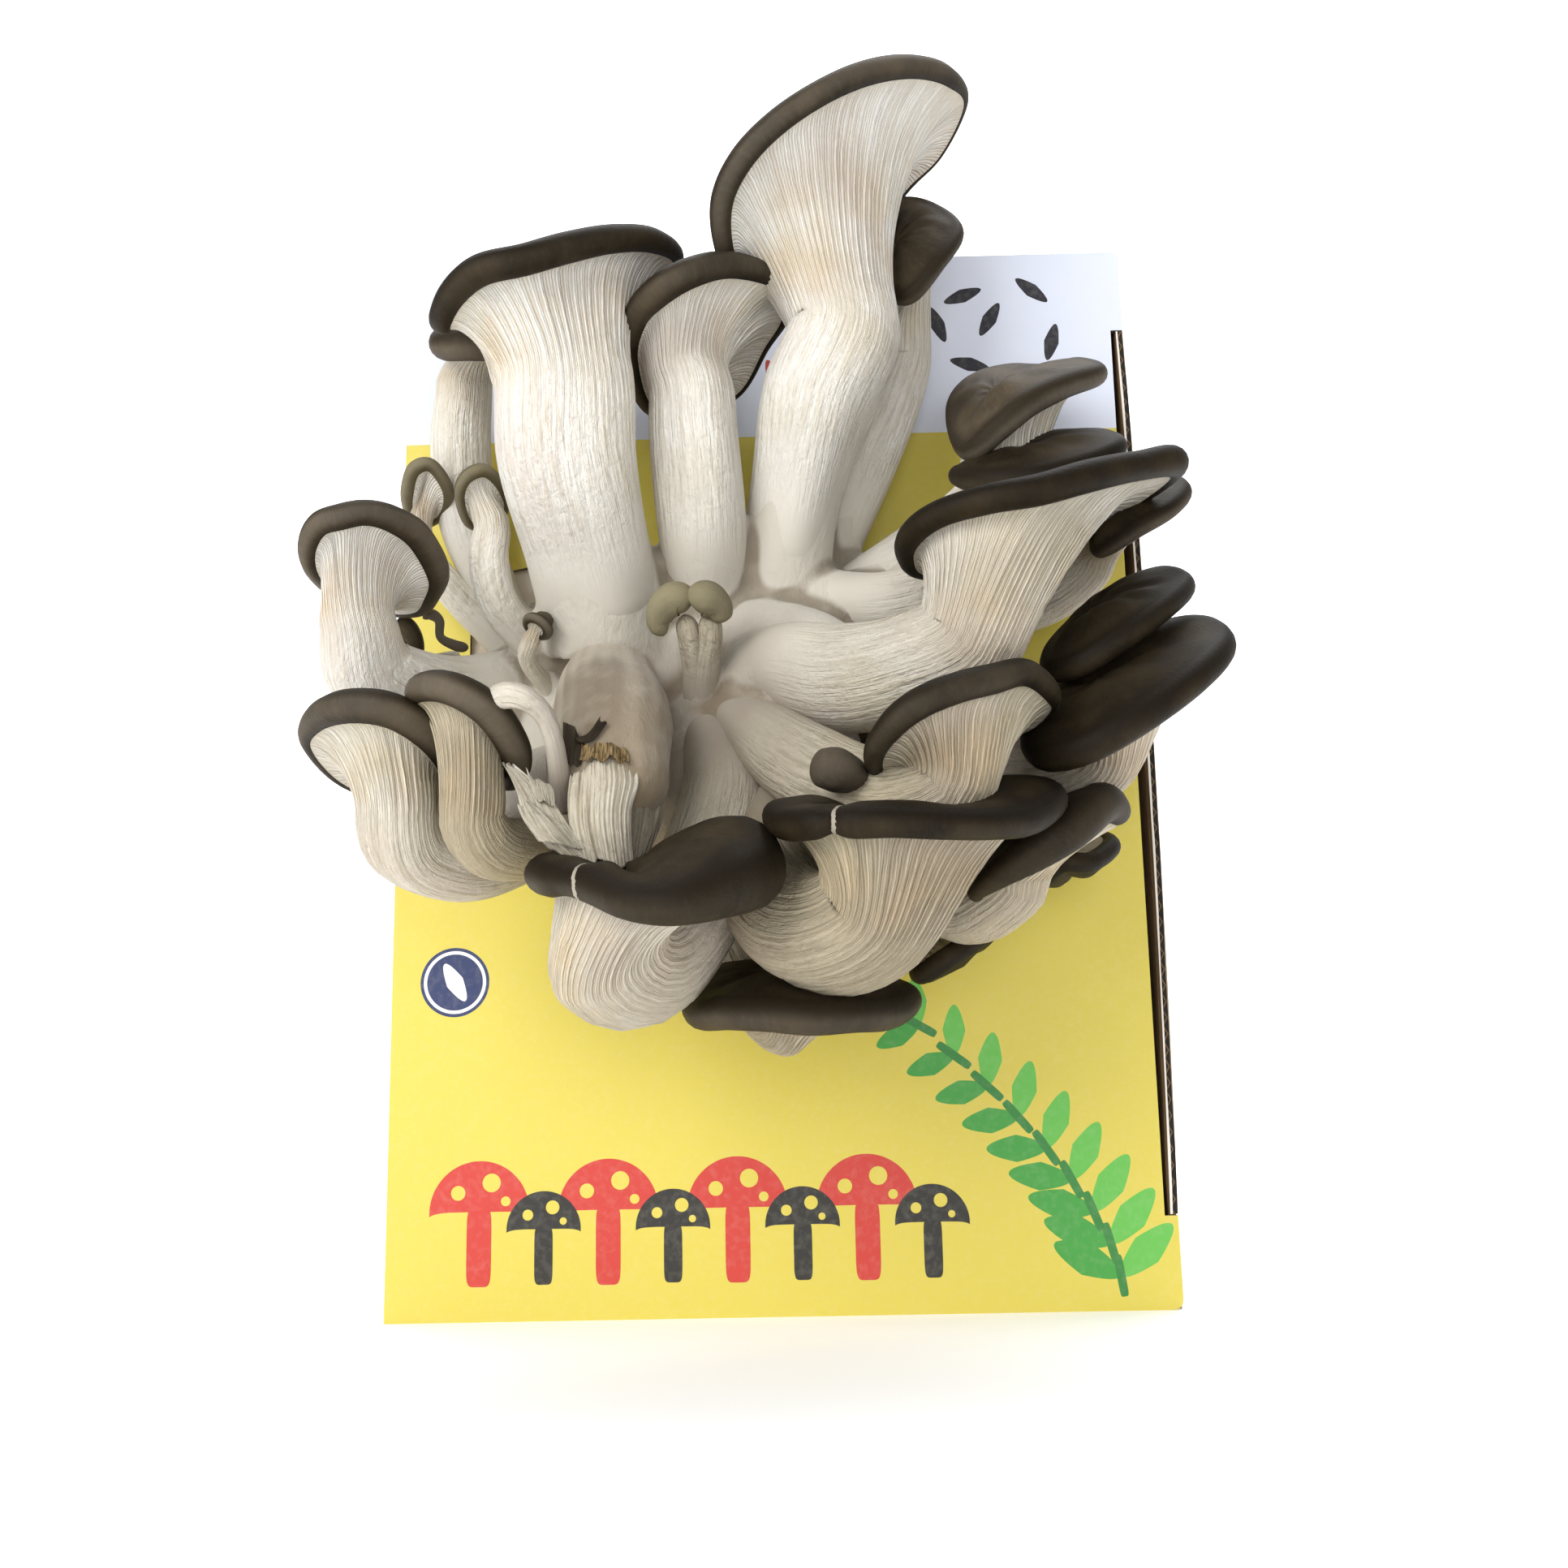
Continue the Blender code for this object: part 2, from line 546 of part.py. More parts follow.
def build_box():
    """The tray with its back, sides, top and bottom, and the lid with its tuck flap."""
    half, deep = BOX_WIDTH / 2, BOX_DEPTH / 2
    front = -deep + BOARD + GAP
    tray = slab("box_tray", (-half, front, 0.0), (half, deep, BOX_HEIGHT))
    inside = slab("inside", (-half + BOARD, front - 5.0, BOARD),
                  (half - BOARD, deep - BOARD, BOX_HEIGHT - BOARD))
    combine(tray, [inside], "DIFFERENCE")
    tongue = bowed_strip("tongue", half - BOARD, half, front + BOW_DEPTH, -deep)
    combine(tray, [tongue], "UNION")
    slit = bowed_strip("slit", half - 2.0 * BOARD, half - BOARD, front + BOW_DEPTH, -deep - 1.0)
    combine(tray, [slit], "DIFFERENCE")
    outline = rounded_outline(-half, 0.0, half, BOX_HEIGHT, (0, LID_CORNER, LID_CORNER, 0))
    lid = plate("box_lid", outline, -deep + BOARD, -deep, "print_yellow")
    notch = slab("notch", (half - LID_STEP, -deep - 5.0, STEP_LOW),
                 (half + 5.0, -deep + 5.0, STEP_HIGH))
    x, z = HOLE_CENTRE
    wide, high = HOLE_SIZE[0] / 2, HOLE_SIZE[1] / 2
    hole = plate("hole", rounded_outline(x - wide, z - high, x + wide, z + high,
                                         [HOLE_RADIUS] * 4), -deep + 5.0, -deep - 5.0)
    combine(lid, [notch, hole], "DIFFERENCE")
    flap = slab("flap", (half - LID_STEP - BOARD, -deep + 0.4, STEP_LOW + 5.0),
                (half - LID_STEP, -deep + FLAP_LENGTH, STEP_HIGH - 5.0), "print_yellow")
    combine(lid, [flap], "UNION")
    return tray, lid


def build_block():
    """The bagged block of growing medium that fills the box behind the lid."""
    deep = BOX_DEPTH / 2
    low = (BLOCK_LEFT, -deep + BOARD + GAP, BOARD + GAP)
    high = (BLOCK_RIGHT, deep - BOARD - 1.0, BLOCK_HEIGHT)
    block = slab("substrate_block", low, high, "bagged_medium")
    bevel = block.modifiers.new("soft_corners", "BEVEL")
    bevel.width = BLOCK_CORNER * MM
    bevel.segments = 3
    bevel.limit_method = "ANGLE"
    return block


def build_foot():
    """The white, swollen foot of the cluster, from the block out through the hole."""
    cosines, sines = round_of(FOOT_SIDES)
    rings = []
    for out, wide, high, x, z in FOOT:
        square = 1.0 / np.maximum(np.abs(cosines), np.abs(sines)) ** 0.35 if out < 0.5 else 1.0
        ring = place((x, out, z)) + square * cosines * wide * step((1, 0, 0))
        rings.append(ring + square * sines * high * step((0, 0, 1)))
    foot = lofted("cluster_foot", rings, "white_mycelium")
    arms = [lofted("arm", tube_rings(rows, STEM_SIDES, 4)[0], "white_mycelium")
            for rows in ARMS]
    return combine(foot, arms, "UNION")


def build_mushroom(name, shape):
    """One mushroom as a stem and a cap with a hair gap between them."""
    stem = lofted("stem_" + name,
                  tube_rings(shape["stem"], STEM_SIDES, STEM_RINGS, shape)[0], "pale_flesh")
    rings, tangent = tube_rings(shape["stem"], CAP_SIDES, STEM_RINGS, shape)
    throat = rings[-1] + GAP * tangent
    cap = lofted("cap_" + name, cap_rings(shape, throat, tangent), "grey_skin")
    return [cap, stem]


def build_small_mushroom(name, shape):
    """One small mushroom whose stem runs on into its cap as a single piece."""
    rings, tangent = tube_rings(shape["stem"], SMALL_SIDES, SMALL_RINGS, shape)
    rings += cap_rings(shape, rings[-1], tangent)[1:]
    return lofted("mushroom_" + name, rings, "young_skin")


def build_cluster():
    """Every piece of the cluster, each cut back from those before it in the list."""
    caps, stems = [], []
    for name, shape in MUSHROOMS.items():
        cap, stem = build_mushroom(name, shape)
        caps.append(cap)
        stems.append(stem)
    small = [build_small_mushroom(name, shape) for name, shape in SMALL_MUSHROOMS.items()]
    singles = []
    for name, rows in TUBES.items():
        sides = STEM_SIDES if name == "stem_torn" else SMALL_SIDES
        colour = "pale_flesh" if name in ("stem_torn", "curl_pale") else "withered"
        singles.append(lofted(name, tube_rings(rows, sides, 5)[0], colour))
    deep = BOX_DEPTH / 2
    torn = plate("cap_torn", TORN_OUTLINE, -deep - TORN_OUT[0], -deep - TORN_OUT[1],
                 "pale_flesh")
    pieces = [build_foot()] + caps + [torn] + stems + small + singles
    for i, piece in enumerate(pieces):
        own_cap = piece.name.replace("stem_", "cap_")
        for other in pieces[:i]:
            if other.name == own_cap and not touching(piece, other):
                continue
            cut_back(piece, other)
    return pieces


def main():
    for obj in list(bpy.data.objects):
        bpy.data.objects.remove(obj, do_unlink=True)
    build_box()
    build_block()
    build_cluster()


main()
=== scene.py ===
"""Looks of an oyster mushroom grow kit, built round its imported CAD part.

The file is laid out as an add-on: settings, one operator for each group of pieces, and a
panel. Run as a script it builds everything once. The frame is metres, +Z up, +X to the
right, and the box's lid faces -Y. Sizes in the tables are millimetres, and a place on
the cluster is (x, out, z), where out is the distance in front of the lid.
"""
import math

import bpy
import numpy as np
from mathutils import Matrix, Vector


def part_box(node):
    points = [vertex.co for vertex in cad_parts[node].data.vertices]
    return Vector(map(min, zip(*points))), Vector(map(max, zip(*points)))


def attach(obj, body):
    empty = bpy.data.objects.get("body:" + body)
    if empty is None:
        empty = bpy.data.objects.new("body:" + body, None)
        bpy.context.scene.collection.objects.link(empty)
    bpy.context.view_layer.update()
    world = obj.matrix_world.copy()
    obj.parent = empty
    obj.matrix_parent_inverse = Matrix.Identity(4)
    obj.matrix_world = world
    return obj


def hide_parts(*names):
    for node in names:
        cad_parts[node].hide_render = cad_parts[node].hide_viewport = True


bl_info = {
    "name": "Mushroom Grow Kit",
    "version": (1, 0, 0),
    "blender": (4, 5, 0),
    "location": "View3D > Sidebar > Grow Kit",
    "description": "Builds the looks of a mushroom grow kit round its CAD part",
    "category": "Object",
}

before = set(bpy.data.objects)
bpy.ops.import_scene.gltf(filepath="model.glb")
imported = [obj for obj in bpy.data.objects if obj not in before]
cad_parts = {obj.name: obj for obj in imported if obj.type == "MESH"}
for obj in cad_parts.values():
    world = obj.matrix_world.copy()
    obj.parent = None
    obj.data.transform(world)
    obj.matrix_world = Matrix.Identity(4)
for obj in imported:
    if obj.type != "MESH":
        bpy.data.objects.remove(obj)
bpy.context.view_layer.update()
MM = 0.001
LID_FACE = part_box("box_lid")[0].y / MM
ALL = slice(None)         # every output of a node

# The box, in mm: its right side, its board, its flute's pitch as measured on the cut edge
# and half the width of the flute's paper, how far the side's free edge bows out and
# between which heights, and the pale band's foot
BOX_SIDE = 82.5
BOARD = 1.6
FLUTE_PITCH = 3.4
FLUTE_HALF = 0.14
SIDE_BOW = 1.2
BOW_ENDS = (19.1, 216.2)
BAND_LOW = 192.6
YELLOW = "#D8C752"
ROUND, BLOCKY, LEAF = (2.0, 2.0), (6.0, 6.0), (2.0, 1.0)

# A mushroom's grid: rows along the stem, the gills, the rolled edge and the top, for a
# full mushroom and for one with fewer gills than SMALL_GILLS, and points across a gill
FULL_ROWS, SMALL_ROWS, SMALL_GILLS = (34, 26, 10, 12), (20, 12, 8, 8), 30
GILL_POINTS = 4
GILL_SPACING = 1.25       # mm between gills in the fibre places of the materials
DEEP_GILLS = 56.0         # caps with fewer gills than this have shallower blades
GILLS_END = 1.999         # the along value from which a mushroom has skin
TUCK = -0.55              # radians from the rolled edge's lowest line to its start
LEAST_FLESH = 2.5         # mm of flesh between the gills and the cap's top
TUBE_ROWS, TUBE_SIDES = 48, 96
ROOT_ROWS, ROOT_END, ROOT_SIDES, DOME_SIDES = 18, 11, 32, 96
FOOT_VOXEL = 1.3          # mm
CREASE_ROUNDS, CREASE_GAIN = 6, 6.0

# Each mushroom: the stem's centre line as (x, out, z, radius), then its cap's rim. The
# rim is the middle of the rolled edge, either an ellipse (centre and two half-axes as
# steps) or control points (x, out, z, edge thickness). swing is how far the gills bulge
# out under the rim, gills is how many there are round it, relief scales their depth, and
# run is the lowest share of the stem where one may begin. dip is how far the cap's middle
# lies under its rim, as a share of the cap's height over the stem's end, and crown how
# many mm it swells. The dullness is how aged the flesh looks, and also painted shade, set
# higher on mushrooms low in the cluster. pale is how light the skin is: partly each cap's
# own tone and partly painted light, higher on caps that face the light and lower on those
# in shade.
MUSHROOMS = {
    "tall": dict(
        stem=[(3, 18, 150, 9), (7, 27, 170, 9.7), (11, 31, 187, 11.5), (17, 33, 203, 11.5)],
        rim=[(45, 24, 260, 3), (40, 36, 258, 5), (32, 46, 253.5, 5.2), (22.5, 54, 247, 5.2),
             (13, 59, 239.5, 5), (4, 60, 232.5, 5), (-3, 58, 226, 5), (-7, 54, 219.5, 4.6),
             (-7, 46, 214, 4), (-4, 34, 212.5, 3.5), (6.5, 20, 216, 3.5), (20.5, 9, 230, 3.5),
             (32, 7, 248.5, 3), (40.5, 12, 255, 2.6)],
        swing=0.75, gills=72, relief=0.65, run=0.6, dull_and_shade=0, pale=0.65),
    "thick": dict(
        stem=[(-33, 22, 140, 13), (-36.4, 33, 156, 13), (-39.7, 42, 172, 14),
              (-40, 46, 188, 13.4)],
        rim=[(-17.5, 38, 216.5, 3.5), (-21.5, 48, 215, 5), (-28.5, 56, 211, 5.6),
             (-36.5, 62, 206, 6), (-44, 66, 201.5, 6), (-52.5, 66, 199.5, 6),
             (-58.5, 62, 197, 5.4), (-62.5, 54, 195.5, 4.6), (-61.5, 44, 201, 4),
             (-56.5, 32, 207, 3.5), (-46.5, 22, 211.5, 3.5), (-33.5, 20, 211, 3.5),
             (-23, 26, 215, 3.5)],
        swing=0.6, gills=66, relief=0.8, run=0.6, dull_and_shade=0.05, pale=0.15),
    "middle": dict(
        stem=[(-13, 20, 146, 8.5), (-13, 31, 163, 9), (-14, 34, 179, 9), (-15, 36, 190, 8.5)],
        rim=[(4.5, 30, 213.5, 4.5), (0.5, 40, 211.5, 5), (-7, 50, 208, 5.6), (-14, 56, 203, 6),
             (-20.5, 54, 200, 6), (-25, 47, 198.5, 5), (-27, 37, 195, 3.5), (-24.5, 26, 189, 3),
             (-16, 18, 191, 3), (-6, 16, 196.5, 2.6), (0, 20, 205, 3), (4, 25, 209.5, 4)],
        swing=0.7, gills=56, relief=0.6, run=0.55, dull_and_shade=0.1, pale=0.4),
    "shy": dict(
        stem=[(-57, 8, 148, 4.5), (-65.5, 10, 168, 6), (-67.3, 13, 186, 6.5),
              (-66.3, 15, 200, 6)],
        rim=[(-69, 22, 208, 5), (-67.4, 29, 202.8, 6.4), (-62, 32, 201.4, 7),
             (-56.5, 30, 202, 6.4), (-54.5, 22, 206, 4), (-57.5, 15, 211, 3.5),
             (-63.5, 13, 213, 3.5), (-67.8, 15, 212.5, 4)],
        swing=0.9, gills=36, relief=0.5, run=0.6, dip=-0.1, dull_and_shade=0, pale=0.8),
    "hidden": dict(
        stem=[(9, 10, 152, 6.5), (18, 10, 175, 8), (26, 10, 194, 8), (30, 10, 208, 7.5)],
        rim=[(42.5, 22, 229.5, 4), (38.5, 14, 239, 4.5), (32, 10, 243, 4.5), (25.5, 10, 239, 4),
             (25, 16, 227, 4), (27.5, 24, 216, 4), (31.5, 28, 212, 4), (37.5, 28, 219, 4)],
        swing=0.9, gills=36, run=0.5, dip=-0.1, dull_and_shade=0.2, pale=0.7),
    "left": dict(
        stem=[(-50, 12, 134, 6.5), (-66, 22, 127.5, 8.5), (-78.5, 35, 129, 9),
              (-80.5, 42, 138, 7.4)],
        rim=[(-66.5, 38, 150, 6), (-68.5, 33, 147, 5), (-72.5, 27, 145.5, 4),
             (-80.5, 24, 146.5, 3), (-87, 34, 147, 3), (-87.5, 48, 146.5, 3.2),
             (-87, 54, 149.5, 4), (-84, 58, 152.5, 4.6), (-80, 58, 154, 5),
             (-75.5, 56, 155.5, 5), (-71.5, 52, 155.5, 5.4), (-68.5, 45, 154.5, 6)],
        swing=0.7, gills=46, relief=0.5, run=0.7, dull_and_shade=0, pale=0.85),
    "low_left": dict(
        stem=[(-41, 20, 103, 7), (-50.5, 32, 94, 7.4), (-59, 44, 89.5, 7.6), (-66, 54, 91, 7.4),
              (-67, 60, 97, 7.1)],
        rim=[(-58.5, 56, 105.5, 5), (-59.5, 64, 109, 6), (-63.5, 70, 112, 6.4),
             (-68.5, 72, 113.5, 6.4), (-75, 70, 114, 6), (-81, 64, 113.5, 5),
             (-85, 56, 111.5, 3.4), (-84, 46, 108, 3), (-80, 40, 105.5, 3), (-72, 38, 104, 3),
             (-63, 46, 103.5, 3.5)],
        swing=0.6, gills=48, run=0.7, dull_and_shade=0.4, pale=0.6),
    "low_inner": dict(
        stem=[(-33.5, 26, 102, 6), (-39.5, 38, 96.5, 6), (-44.5, 52, 91, 6), (-50, 63, 90, 5.8),
              (-52, 68, 95, 5.5)],
        rim=[(-44.4, 66, 105.4, 5.6), (-46, 73, 109.6, 6.2), (-49.4, 77, 112.8, 6.2),
             (-55, 77, 115.5, 5.8), (-60.5, 72, 116.5, 5), (-63, 64, 115.5, 3),
             (-62, 56, 114, 2.8), (-58.5, 48, 110.5, 3), (-53, 48, 105.5, 3),
             (-47, 56, 103, 4)],
        swing=0.6, gills=40, run=0.7, dull_and_shade=1.0, pale=0.8),
    "bottom_left": dict(
        stem=[(-15, 28, 121, 6.5), (-11, 34, 110, 8.5), (-9, 40, 99, 9.5), (-13.5, 50, 82, 10),
              (-21.5, 60, 69.5, 10.5), (-27, 66, 70, 12)],
        rim=[(-2.5, 78, 82, 12), (-6, 86, 79.5, 12), (-10.5, 91, 76.5, 9), (-15.5, 93, 75, 7),
             (-21.5, 91, 76, 6.6), (-27.5, 86, 79, 6.4), (-32.5, 82, 80.5, 5.2),
             (-36, 78, 81.5, 6.4), (-39, 70, 83.5, 6.2), (-38, 62, 86, 5), (-31, 57, 85.5, 4.6),
             (-25, 55, 84.5, 4.6), (-19.5, 56, 85, 5), (-14, 59, 87.5, 7), (-8.5, 64, 89, 9),
             (-4, 71, 87, 11)],
        swing=0.6, gills=60, run=0.4, dip=0.3, dull_and_shade=0.55, pale=0.2),
    "bottom": dict(
        stem=[(-8.5, 26, 92, 7), (-8, 22, 75.5, 6.5), (-2, 28, 61.5, 5.5), (3, 37, 58.5, 5.5)],
        rim=[(25, 46, 62, 5.4), (21, 55, 59, 6), (14.5, 63, 58.5, 6.4), (7, 67, 58, 6.4),
             (0, 66, 58.8, 6.4), (-7, 60, 59.5, 6.4), (-13, 50, 60, 6), (-14, 40, 64, 5.4),
             (-9.5, 32, 68, 5), (-0.5, 28, 68.5, 5), (10.5, 30, 67.5, 5), (20, 36, 65, 5)],
        swing=0.7, gills=48, dip=-0.1, dull_and_shade=0.8, pale=0.45),
    "bottom_right": dict(
        stem=[(0, 30, 104, 9.5), (-0.5, 45, 88, 10.5), (7.5, 65, 73, 10.5), (18.5, 73, 76, 10.5)],
        rim=[(51.4, 60, 96.2, 6), (45.4, 72, 91, 6), (37.5, 81, 88.8, 5.6), (29, 87, 88, 5.4),
             (21, 90, 88, 5.4), (14.5, 90, 88, 5.4), (11.5, 88, 88.5, 4), (8, 86, 88.5, 5.4),
             (3.5, 78, 90, 5.6), (2, 68, 93.5, 5), (6.5, 58, 96, 5), (17.5, 50, 99, 5),
             (31.5, 44, 100, 5), (42, 44, 100.5, 5.4), (49.6, 50, 99.8, 6)],
        swing=0.6, gills=64, run=0.4, relief=0.8, dull_and_shade=1.25, pale=0.05),
    "low_right": dict(
        stem=[(14, 28, 103, 8), (22, 28, 95, 8), (30, 32, 84.5, 7.4), (37.5, 38, 79.5, 7),
              (43, 44, 81.5, 6.6), (46, 47, 84.5, 6.2)],
        rim=[(66.5, 42, 97, 5.4), (62, 50, 97.2, 8), (55, 58, 91.8, 8.6), (48, 60, 87.2, 7.6),
             (42, 58, 83.6, 5.6), (38, 52, 81, 3.4), (41, 42, 82, 3), (49, 33, 87, 3),
             (57, 30, 92, 2.6), (63, 32, 97, 2.6), (66.5, 36, 99, 3)],
        swing=0.6, gills=40, run=0.5, dip=-0.1, dull_and_shade=0.8, pale=0.2),
    "low_far": dict(
        stem=[(24, 10, 108, 4.5), (42, 10, 98, 4.5), (56, 14, 95, 4.5)],
        rim=[(68, 26, 92.5, 4), (62.5, 34, 88.5, 4), (56.5, 36, 88, 4), (53.5, 30, 86, 4),
             (56.5, 18, 91, 4), (63.5, 12, 95, 4), (67.5, 16, 95.5, 4)],
        swing=0.9, gills=30, dip=-0.1, dull_and_shade=0.6, pale=0.1),
    "bottom_far": dict(
        stem=[(10, 9, 101, 5.5), (14, 9, 93.5, 5.5), (23, 11, 82.5, 5.5), (31, 16, 74.5, 5)],
        rim=[(46.5, 22, 79.5, 4), (39, 30, 73.8, 4.4), (32.5, 34, 69.5, 4.4), (28.5, 32, 67.5, 4),
             (30.5, 22, 72, 4), (37, 15, 76.5, 4), (44.5, 15, 80, 4)],
        swing=0.5, gills=32, dip=-0.1, dull_and_shade=0.6, pale=0.1),
    "centre": dict(
        stem=[(-10, 28, 122.5, 5.5), (-2, 38, 114.5, 7.2), (8.5, 50, 104.5, 8.8),
              (17, 58, 98.5, 8.9), (25, 65, 95.5, 8.6), (31.5, 67, 98, 8.3)],
        rim=[(52, 58, 117, 4.6), (46.5, 68, 118, 5), (40, 76, 115, 5.4), (33, 82, 112, 5.4),
             (26.5, 84, 109, 5.4), (22, 82, 106, 5), (19, 76, 102.5, 3.8), (20.5, 66, 101, 3),
             (27.5, 56, 103.5, 3), (34.5, 48, 108.5, 2.8), (41.5, 46, 111.5, 2.6),
             (49, 48, 112.5, 2.6), (53, 52, 115.5, 3)],
        swing=0.6, gills=52, run=0.55, dull_and_shade=0.85, pale=0.25),
    "right": dict(
        stem=[(20, 22, 116, 8), (40, 22, 110, 8), (55, 29, 106, 7.5), (66, 38, 110, 7)],
        rim=[(88, 44, 128.5, 6), (80, 54, 120, 6.4), (68.5, 60, 111.5, 6.6), (58.5, 60, 106, 6.4),
             (52, 53, 106, 6), (51.5, 42, 112.5, 5), (59.5, 31, 123.5, 5), (71.5, 26, 132.5, 5),
             (81, 29, 136, 5), (87, 36, 134.5, 5.4)],
        swing=0.9, gills=44, dip=-0.1, dull_and_shade=0.6, pale=0.1),
    "right_upper": dict(
        stem=[(22, 10, 133, 6.5), (46, 10, 123, 6), (62, 19, 117, 6), (67, 27, 124, 6)],
        rim=[(84.5, 32, 144.5, 5), (77.5, 42, 137, 5.2), (68.5, 48, 130, 5.4),
             (60.5, 48, 125, 5.4), (56, 42, 125.5, 5), (58.5, 32, 132.5, 4.6),
             (67, 24, 141.5, 4.6), (76.5, 22, 148, 4.8), (82.5, 26, 148.5, 5)],
        swing=0.9, gills=36, dip=-0.1, dull_and_shade=0.5, pale=0.12),
    "right_small": dict(
        stem=[(18, 8, 146, 5), (44, 8, 146, 5.5), (60, 12, 149, 5.5), (69, 18, 156, 5)],
        rim=[(87, 26, 167, 4.4), (82.5, 32, 161, 4), (76.5, 32, 157.5, 4), (69, 28, 154, 3.2),
             (71, 20, 162, 3.6), (76, 16, 169, 4), (82, 16, 172, 4.2),
             (85.5, 20, 171.5, 4.4)],
        swing=0.9, gills=36, dip=-0.1, dull_and_shade=0.5, pale=0.5),
    "broad": dict(
        stem=[(-7.5, 30, 126, 6), (3, 36, 128, 9), (15, 42, 124.5, 10.5), (27, 49, 124.5, 10),
              (39, 55, 129, 10)],
        rim=[(81.2, 44, 166.2, 6.2), (71.5, 55, 161.5, 5.8), (61, 62, 157, 6.2), (51, 66, 153, 6),
             (42, 66, 151.5, 5.6), (33.5, 62, 150.5, 5.2), (28.5, 56, 149, 5), (27.5, 47, 148, 4),
             (31, 38, 147, 3), (43, 28, 150.5, 3), (59, 23, 157, 3), (74.5, 28, 163.5, 3.4)],
        swing=0.6, gills=70, run=0.5, relief=0.8, dull_and_shade=0.5, pale=0.0),
    "broad_far": dict(
        stem=[(8, 20, 146, 7), (29, 25, 145, 7), (46, 28, 152, 7), (53, 30, 159, 7)],
        rim=[(72, 35, 173.5, 4.6), (63, 43, 167, 5), (52.5, 46, 163.5, 5), (43.5, 43, 164, 5),
             (39.5, 36, 168, 4), (46, 27, 172.8, 4.6), (56.5, 21, 177.6, 4.8), (66, 18, 182, 5),
             (71, 24, 179.8, 5)],
        swing=0.9, gills=44, run=0.5, dip=-0.1, dull_and_shade=0.5, pale=0.3),
    "upper_right": dict(
        stem=[(14, 12, 148, 6), (29, 16, 157, 6), (42, 22, 163, 7), (48, 26, 168, 8)],
        rim=[(70, 30, 192, 4.6), (61.5, 38, 186, 5.4), (53.5, 42, 180.5, 5.6),
             (47.5, 42, 175.5, 5.2), (42, 38, 172.5, 4.4), (40, 28, 181, 3), (41, 20, 191, 3),
             (46, 14, 198.5, 3), (54.5, 10, 202.5, 3), (62.5, 13, 201, 3), (67.5, 21, 198, 4)],
        swing=0.9, gills=40, run=0.5, dip=-0.1, dull_and_shade=0.3, pale=0.95),
    "button_a": dict(
        stem=[(-52, 10, 136, 3.5), (-67, 10, 152, 3.5), (-74, 12, 161, 3), (-76, 14, 167, 3)],
        rim=[(-68.5, 19, 174, 2.8), (-71, 23, 178, 3), (-74.4, 23, 177.5, 3.6),
             (-76.6, 19, 174.5, 4), (-77.6, 14, 172, 3.2), (-76, 11, 169.5, 2.4),
             (-71, 13, 171, 2.4)],
        swing=0.9, gills=18, relief=0.5, run=0.6, dull_and_shade=0.1, pale=1.7),
    "button_b": dict(
        stem=[(-46, 18, 135, 4), (-55, 27, 145, 4), (-57, 31, 154, 4), (-56, 33, 161, 3.5)],
        rim=[(-55, 33, 169.5, 3.2), (-57.4, 37, 171, 3.2), (-60.5, 39, 168.5, 2.8),
             (-62, 36, 165.5, 2.2), (-61, 31, 162, 2), (-57.5, 27, 163, 2),
             (-54.5, 28, 166.5, 2.4)],
        swing=0.9, gills=18, relief=0.5, run=0.7, dull_and_shade=0.15, pale=1.7),
    "button_tiny": dict(
        stem=[(-43, 20, 126, 2.2), (-48.5, 30, 132, 1.8), (-47.6, 34, 135.6, 1.7)],
        centre=(-45.8, 36.5, 138), long=(2.0, 0, -1.2), short=(0.6, 2.0, 0.8), edge=2.2,
        swing=0.8, gills=12, dull_and_shade=0.5, pale=1.1, crown=1.2, dip=0),
    "curl_dark": dict(
        stem=[(-67, 12, 138.5, 2), (-72, 15, 137, 1.8), (-75.5, 16, 137.6, 1.8)],
        centre=(-75.6, 20, 141), long=(-0.6, 2.4, 3.4), short=(-2.2, -0.6, 0.2), edge=1.6,
        swing=0.9, gills=12, dull_and_shade=0.6, pale=1.1, dip=0),
}
UPPER = ("tall", "thick", "middle", "shy", "hidden")
LEFT = ("left", "low_left", "low_inner")
LOWER = ("bottom_left", "bottom", "bottom_right", "bottom_far", "low_right", "low_far")
RIGHT = ("centre", "right", "right_upper", "right_small", "broad", "broad_far",
         "upper_right")
SMALL = ("button_a", "button_b", "button_tiny", "curl_dark")
BARE_NAMES = ("button_tiny", "curl_dark")

# Pieces without a rolled cap: centre line as (x, out, z, radius), then how dull and how
# pale, which as for the mushrooms are partly painted shade and painted light
TUBES = {
    "stem_torn": ([(-32, 24, 131, 8.6), (-31, 38, 122, 10.4), (-29, 51, 113, 11.8),
                   (-28.3, 60, 102.7, 11.2), (-26.5, 62.5, 91, 9.7)], 0.75, 0),
    "curl_pale": ([(-35.8, 65, 96, 2.3), (-36.2, 70, 101, 1.9), (-36.5, 74, 105.8, 1.7),
                   (-37.9, 76.5, 110.2, 1.8), (-40.8, 78, 112.8, 2.1), (-44.4, 77, 113.7, 2.3),
                   (-47.2, 75.5, 112.8, 2), (-48.4, 74, 111, 1.2)], 0.6, 0),
    "sprig_withered": ([(-63.2, 20, 138.5, 1.2), (-65.7, 22, 138.7, 1.1),
                        (-68.4, 23, 140.2, 0.9), (-68.5, 24, 143.4, 1),
                        (-70.2, 24.5, 144.7, 1.2), (-71.9, 24, 144, 0.9)], 1.0, 0.9),
    "bud_dark": ([(17, 66, 100, 2.6), (12.6, 70, 100.6, 4.2), (8.2, 72, 101, 2.8)], 0, 0.6),
    "cap_far": ([(45, 30, 119, 2.4), (50, 33, 120, 3.6), (55, 36, 122, 2.4)], 0, 0.1),
}
